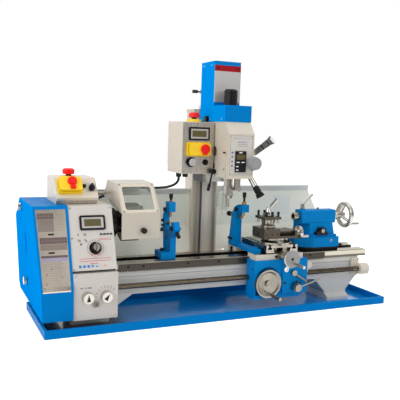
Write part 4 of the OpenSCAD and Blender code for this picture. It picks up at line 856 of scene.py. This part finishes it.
graduations("cross_dial_marks", "cross_wheel", front(0), *CROSS_WHEEL, 14.5, 122, 132, 50)
graduations("top_dial_marks", "top_slide_wheel", Face((0, -62, 262), (0, 1, 0), (0, 0, 1)), 0, 0,
            17, 279, 283.5, 50)


# ---------- studio ----------
def area(name, place, target, size, power):
    d = bpy.data.lights.new(name, "AREA")
    d.shape, d.size, d.size_y, d.energy = "RECTANGLE", *size, power
    o = bpy.data.objects.new(name, d)
    o.location = place
    o.rotation_euler = (Vector(target) - Vector(place)).to_track_quat("-Z", "Y").to_euler()
    scene.collection.objects.link(o)


area("key", (-2.9, -1.2, 1.7), (0, 0, 0.35), (1.8, 1.6), 35)
area("fill", (1.2, -2.8, 1.7), (0, 0, 0.3), (1.6, 1.2), 14)
area("top", (0.0, 0.2, 2.6), (0, 0, 0.3), (2.6, 1.4), 10)


def blank_tree(data):
    data.use_nodes = True
    data.node_tree.nodes.clear()
    return data.node_tree


def math_node(nt, operation, a, b):
    """A node for two values; b may be a plain number."""
    n = nt.nodes.new("ShaderNodeMath")
    n.operation = operation
    nt.links.new(a, n.inputs[0])
    if isinstance(b, float):
        n.inputs[1].default_value = b
    else:
        nt.links.new(b, n.inputs[1])
    return n.outputs[0]


def seen_rays(nt):
    """1 for rays of the camera, of reflections and through glass, so that all of them meet a white studio."""
    rays = node(nt, "ShaderNodeLightPath").outputs
    total = math_node(nt, "MAXIMUM", rays["Is Camera Ray"], rays["Is Glossy Ray"])
    return math_node(nt, "MAXIMUM", total, rays["Is Transmission Ray"])


def room(nt, coords, y0, y1, dark):
    """White, but darker for reflections that look into the room behind the camera: from y1 down to y0."""
    y = node(nt, "ShaderNodeSeparateXYZ", [("Vector", coords)]).outputs["Y"]
    fade = node(nt, "ShaderNodeMapRange", [("Value", y)], From_Min=y0, From_Max=y1, To_Min=dark, To_Max=1.0)
    fade.interpolation_type = "SMOOTHSTEP"
    reflected = node(nt, "ShaderNodeLightPath").outputs["Is Glossy Ray"]
    mix = node(nt, "ShaderNodeMix", [("Factor", reflected), ("B", fade.outputs["Result"])], A=1.0)
    return mix.outputs["Result"]


# ---------- world: white where it is seen, an even dome of light elsewhere ----------
DOME_LIGHT = 0.7
WHITE = (1, 1, 1, 1)
world = bpy.data.worlds.new("studio")
scene.world = world
nt = blank_tree(world)
direction = node(nt, "ShaderNodeTexCoord").outputs["Generated"]
white = node(nt, "ShaderNodeBackground", [("Strength", room(nt, direction, -0.75, 0.05, 0.16))], Color=WHITE)
dome = node(nt, "ShaderNodeBackground", Color=WHITE, Strength=DOME_LIGHT)
sky = node(nt, "ShaderNodeMixShader", [("Fac", seen_rays(nt)), (1, dome.outputs["Background"]),
                                       (2, white.outputs["Background"])])
node(nt, "ShaderNodeOutputWorld", [("Surface", sky.outputs["Shader"])])

# ---------- floor: pale, with the shadow on it, and lifted to white for the same rays ----------
FLOOR_HALF = 8
FLOOR_DROP = -0.0005
FLOOR_GREY = (0.78, 0.78, 0.78, 1)
FLOOR_LIFT = 0.74
bm = bmesh.new()
bmesh.ops.create_grid(bm, x_segments=1, y_segments=1, size=FLOOR_HALF)
me = bpy.data.meshes.new("floor")
bm.to_mesh(me)
bm.free()
floor = bpy.data.objects.new("floor", me)
floor.location = (0, 0, FLOOR_DROP)
scene.collection.objects.link(floor)
floor_paint = bpy.data.materials.new("floor")
nt = blank_tree(floor_paint)
place = node(nt, "ShaderNodeNewGeometry").outputs["Position"]
lift = math_node(nt, "MULTIPLY", math_node(nt, "MULTIPLY", seen_rays(nt), FLOOR_LIFT),
                 room(nt, place, -2.4, -0.8, 0.12))
plain = node(nt, "ShaderNodeBsdfDiffuse", Color=FLOOR_GREY)
glow = node(nt, "ShaderNodeEmission", [("Strength", lift)], Color=WHITE)
both = node(nt, "ShaderNodeAddShader", [(0, plain.outputs[0]), (1, glow.outputs[0])])
node(nt, "ShaderNodeOutputMaterial", [("Surface", both.outputs[0])])
me.materials.append(floor_paint)
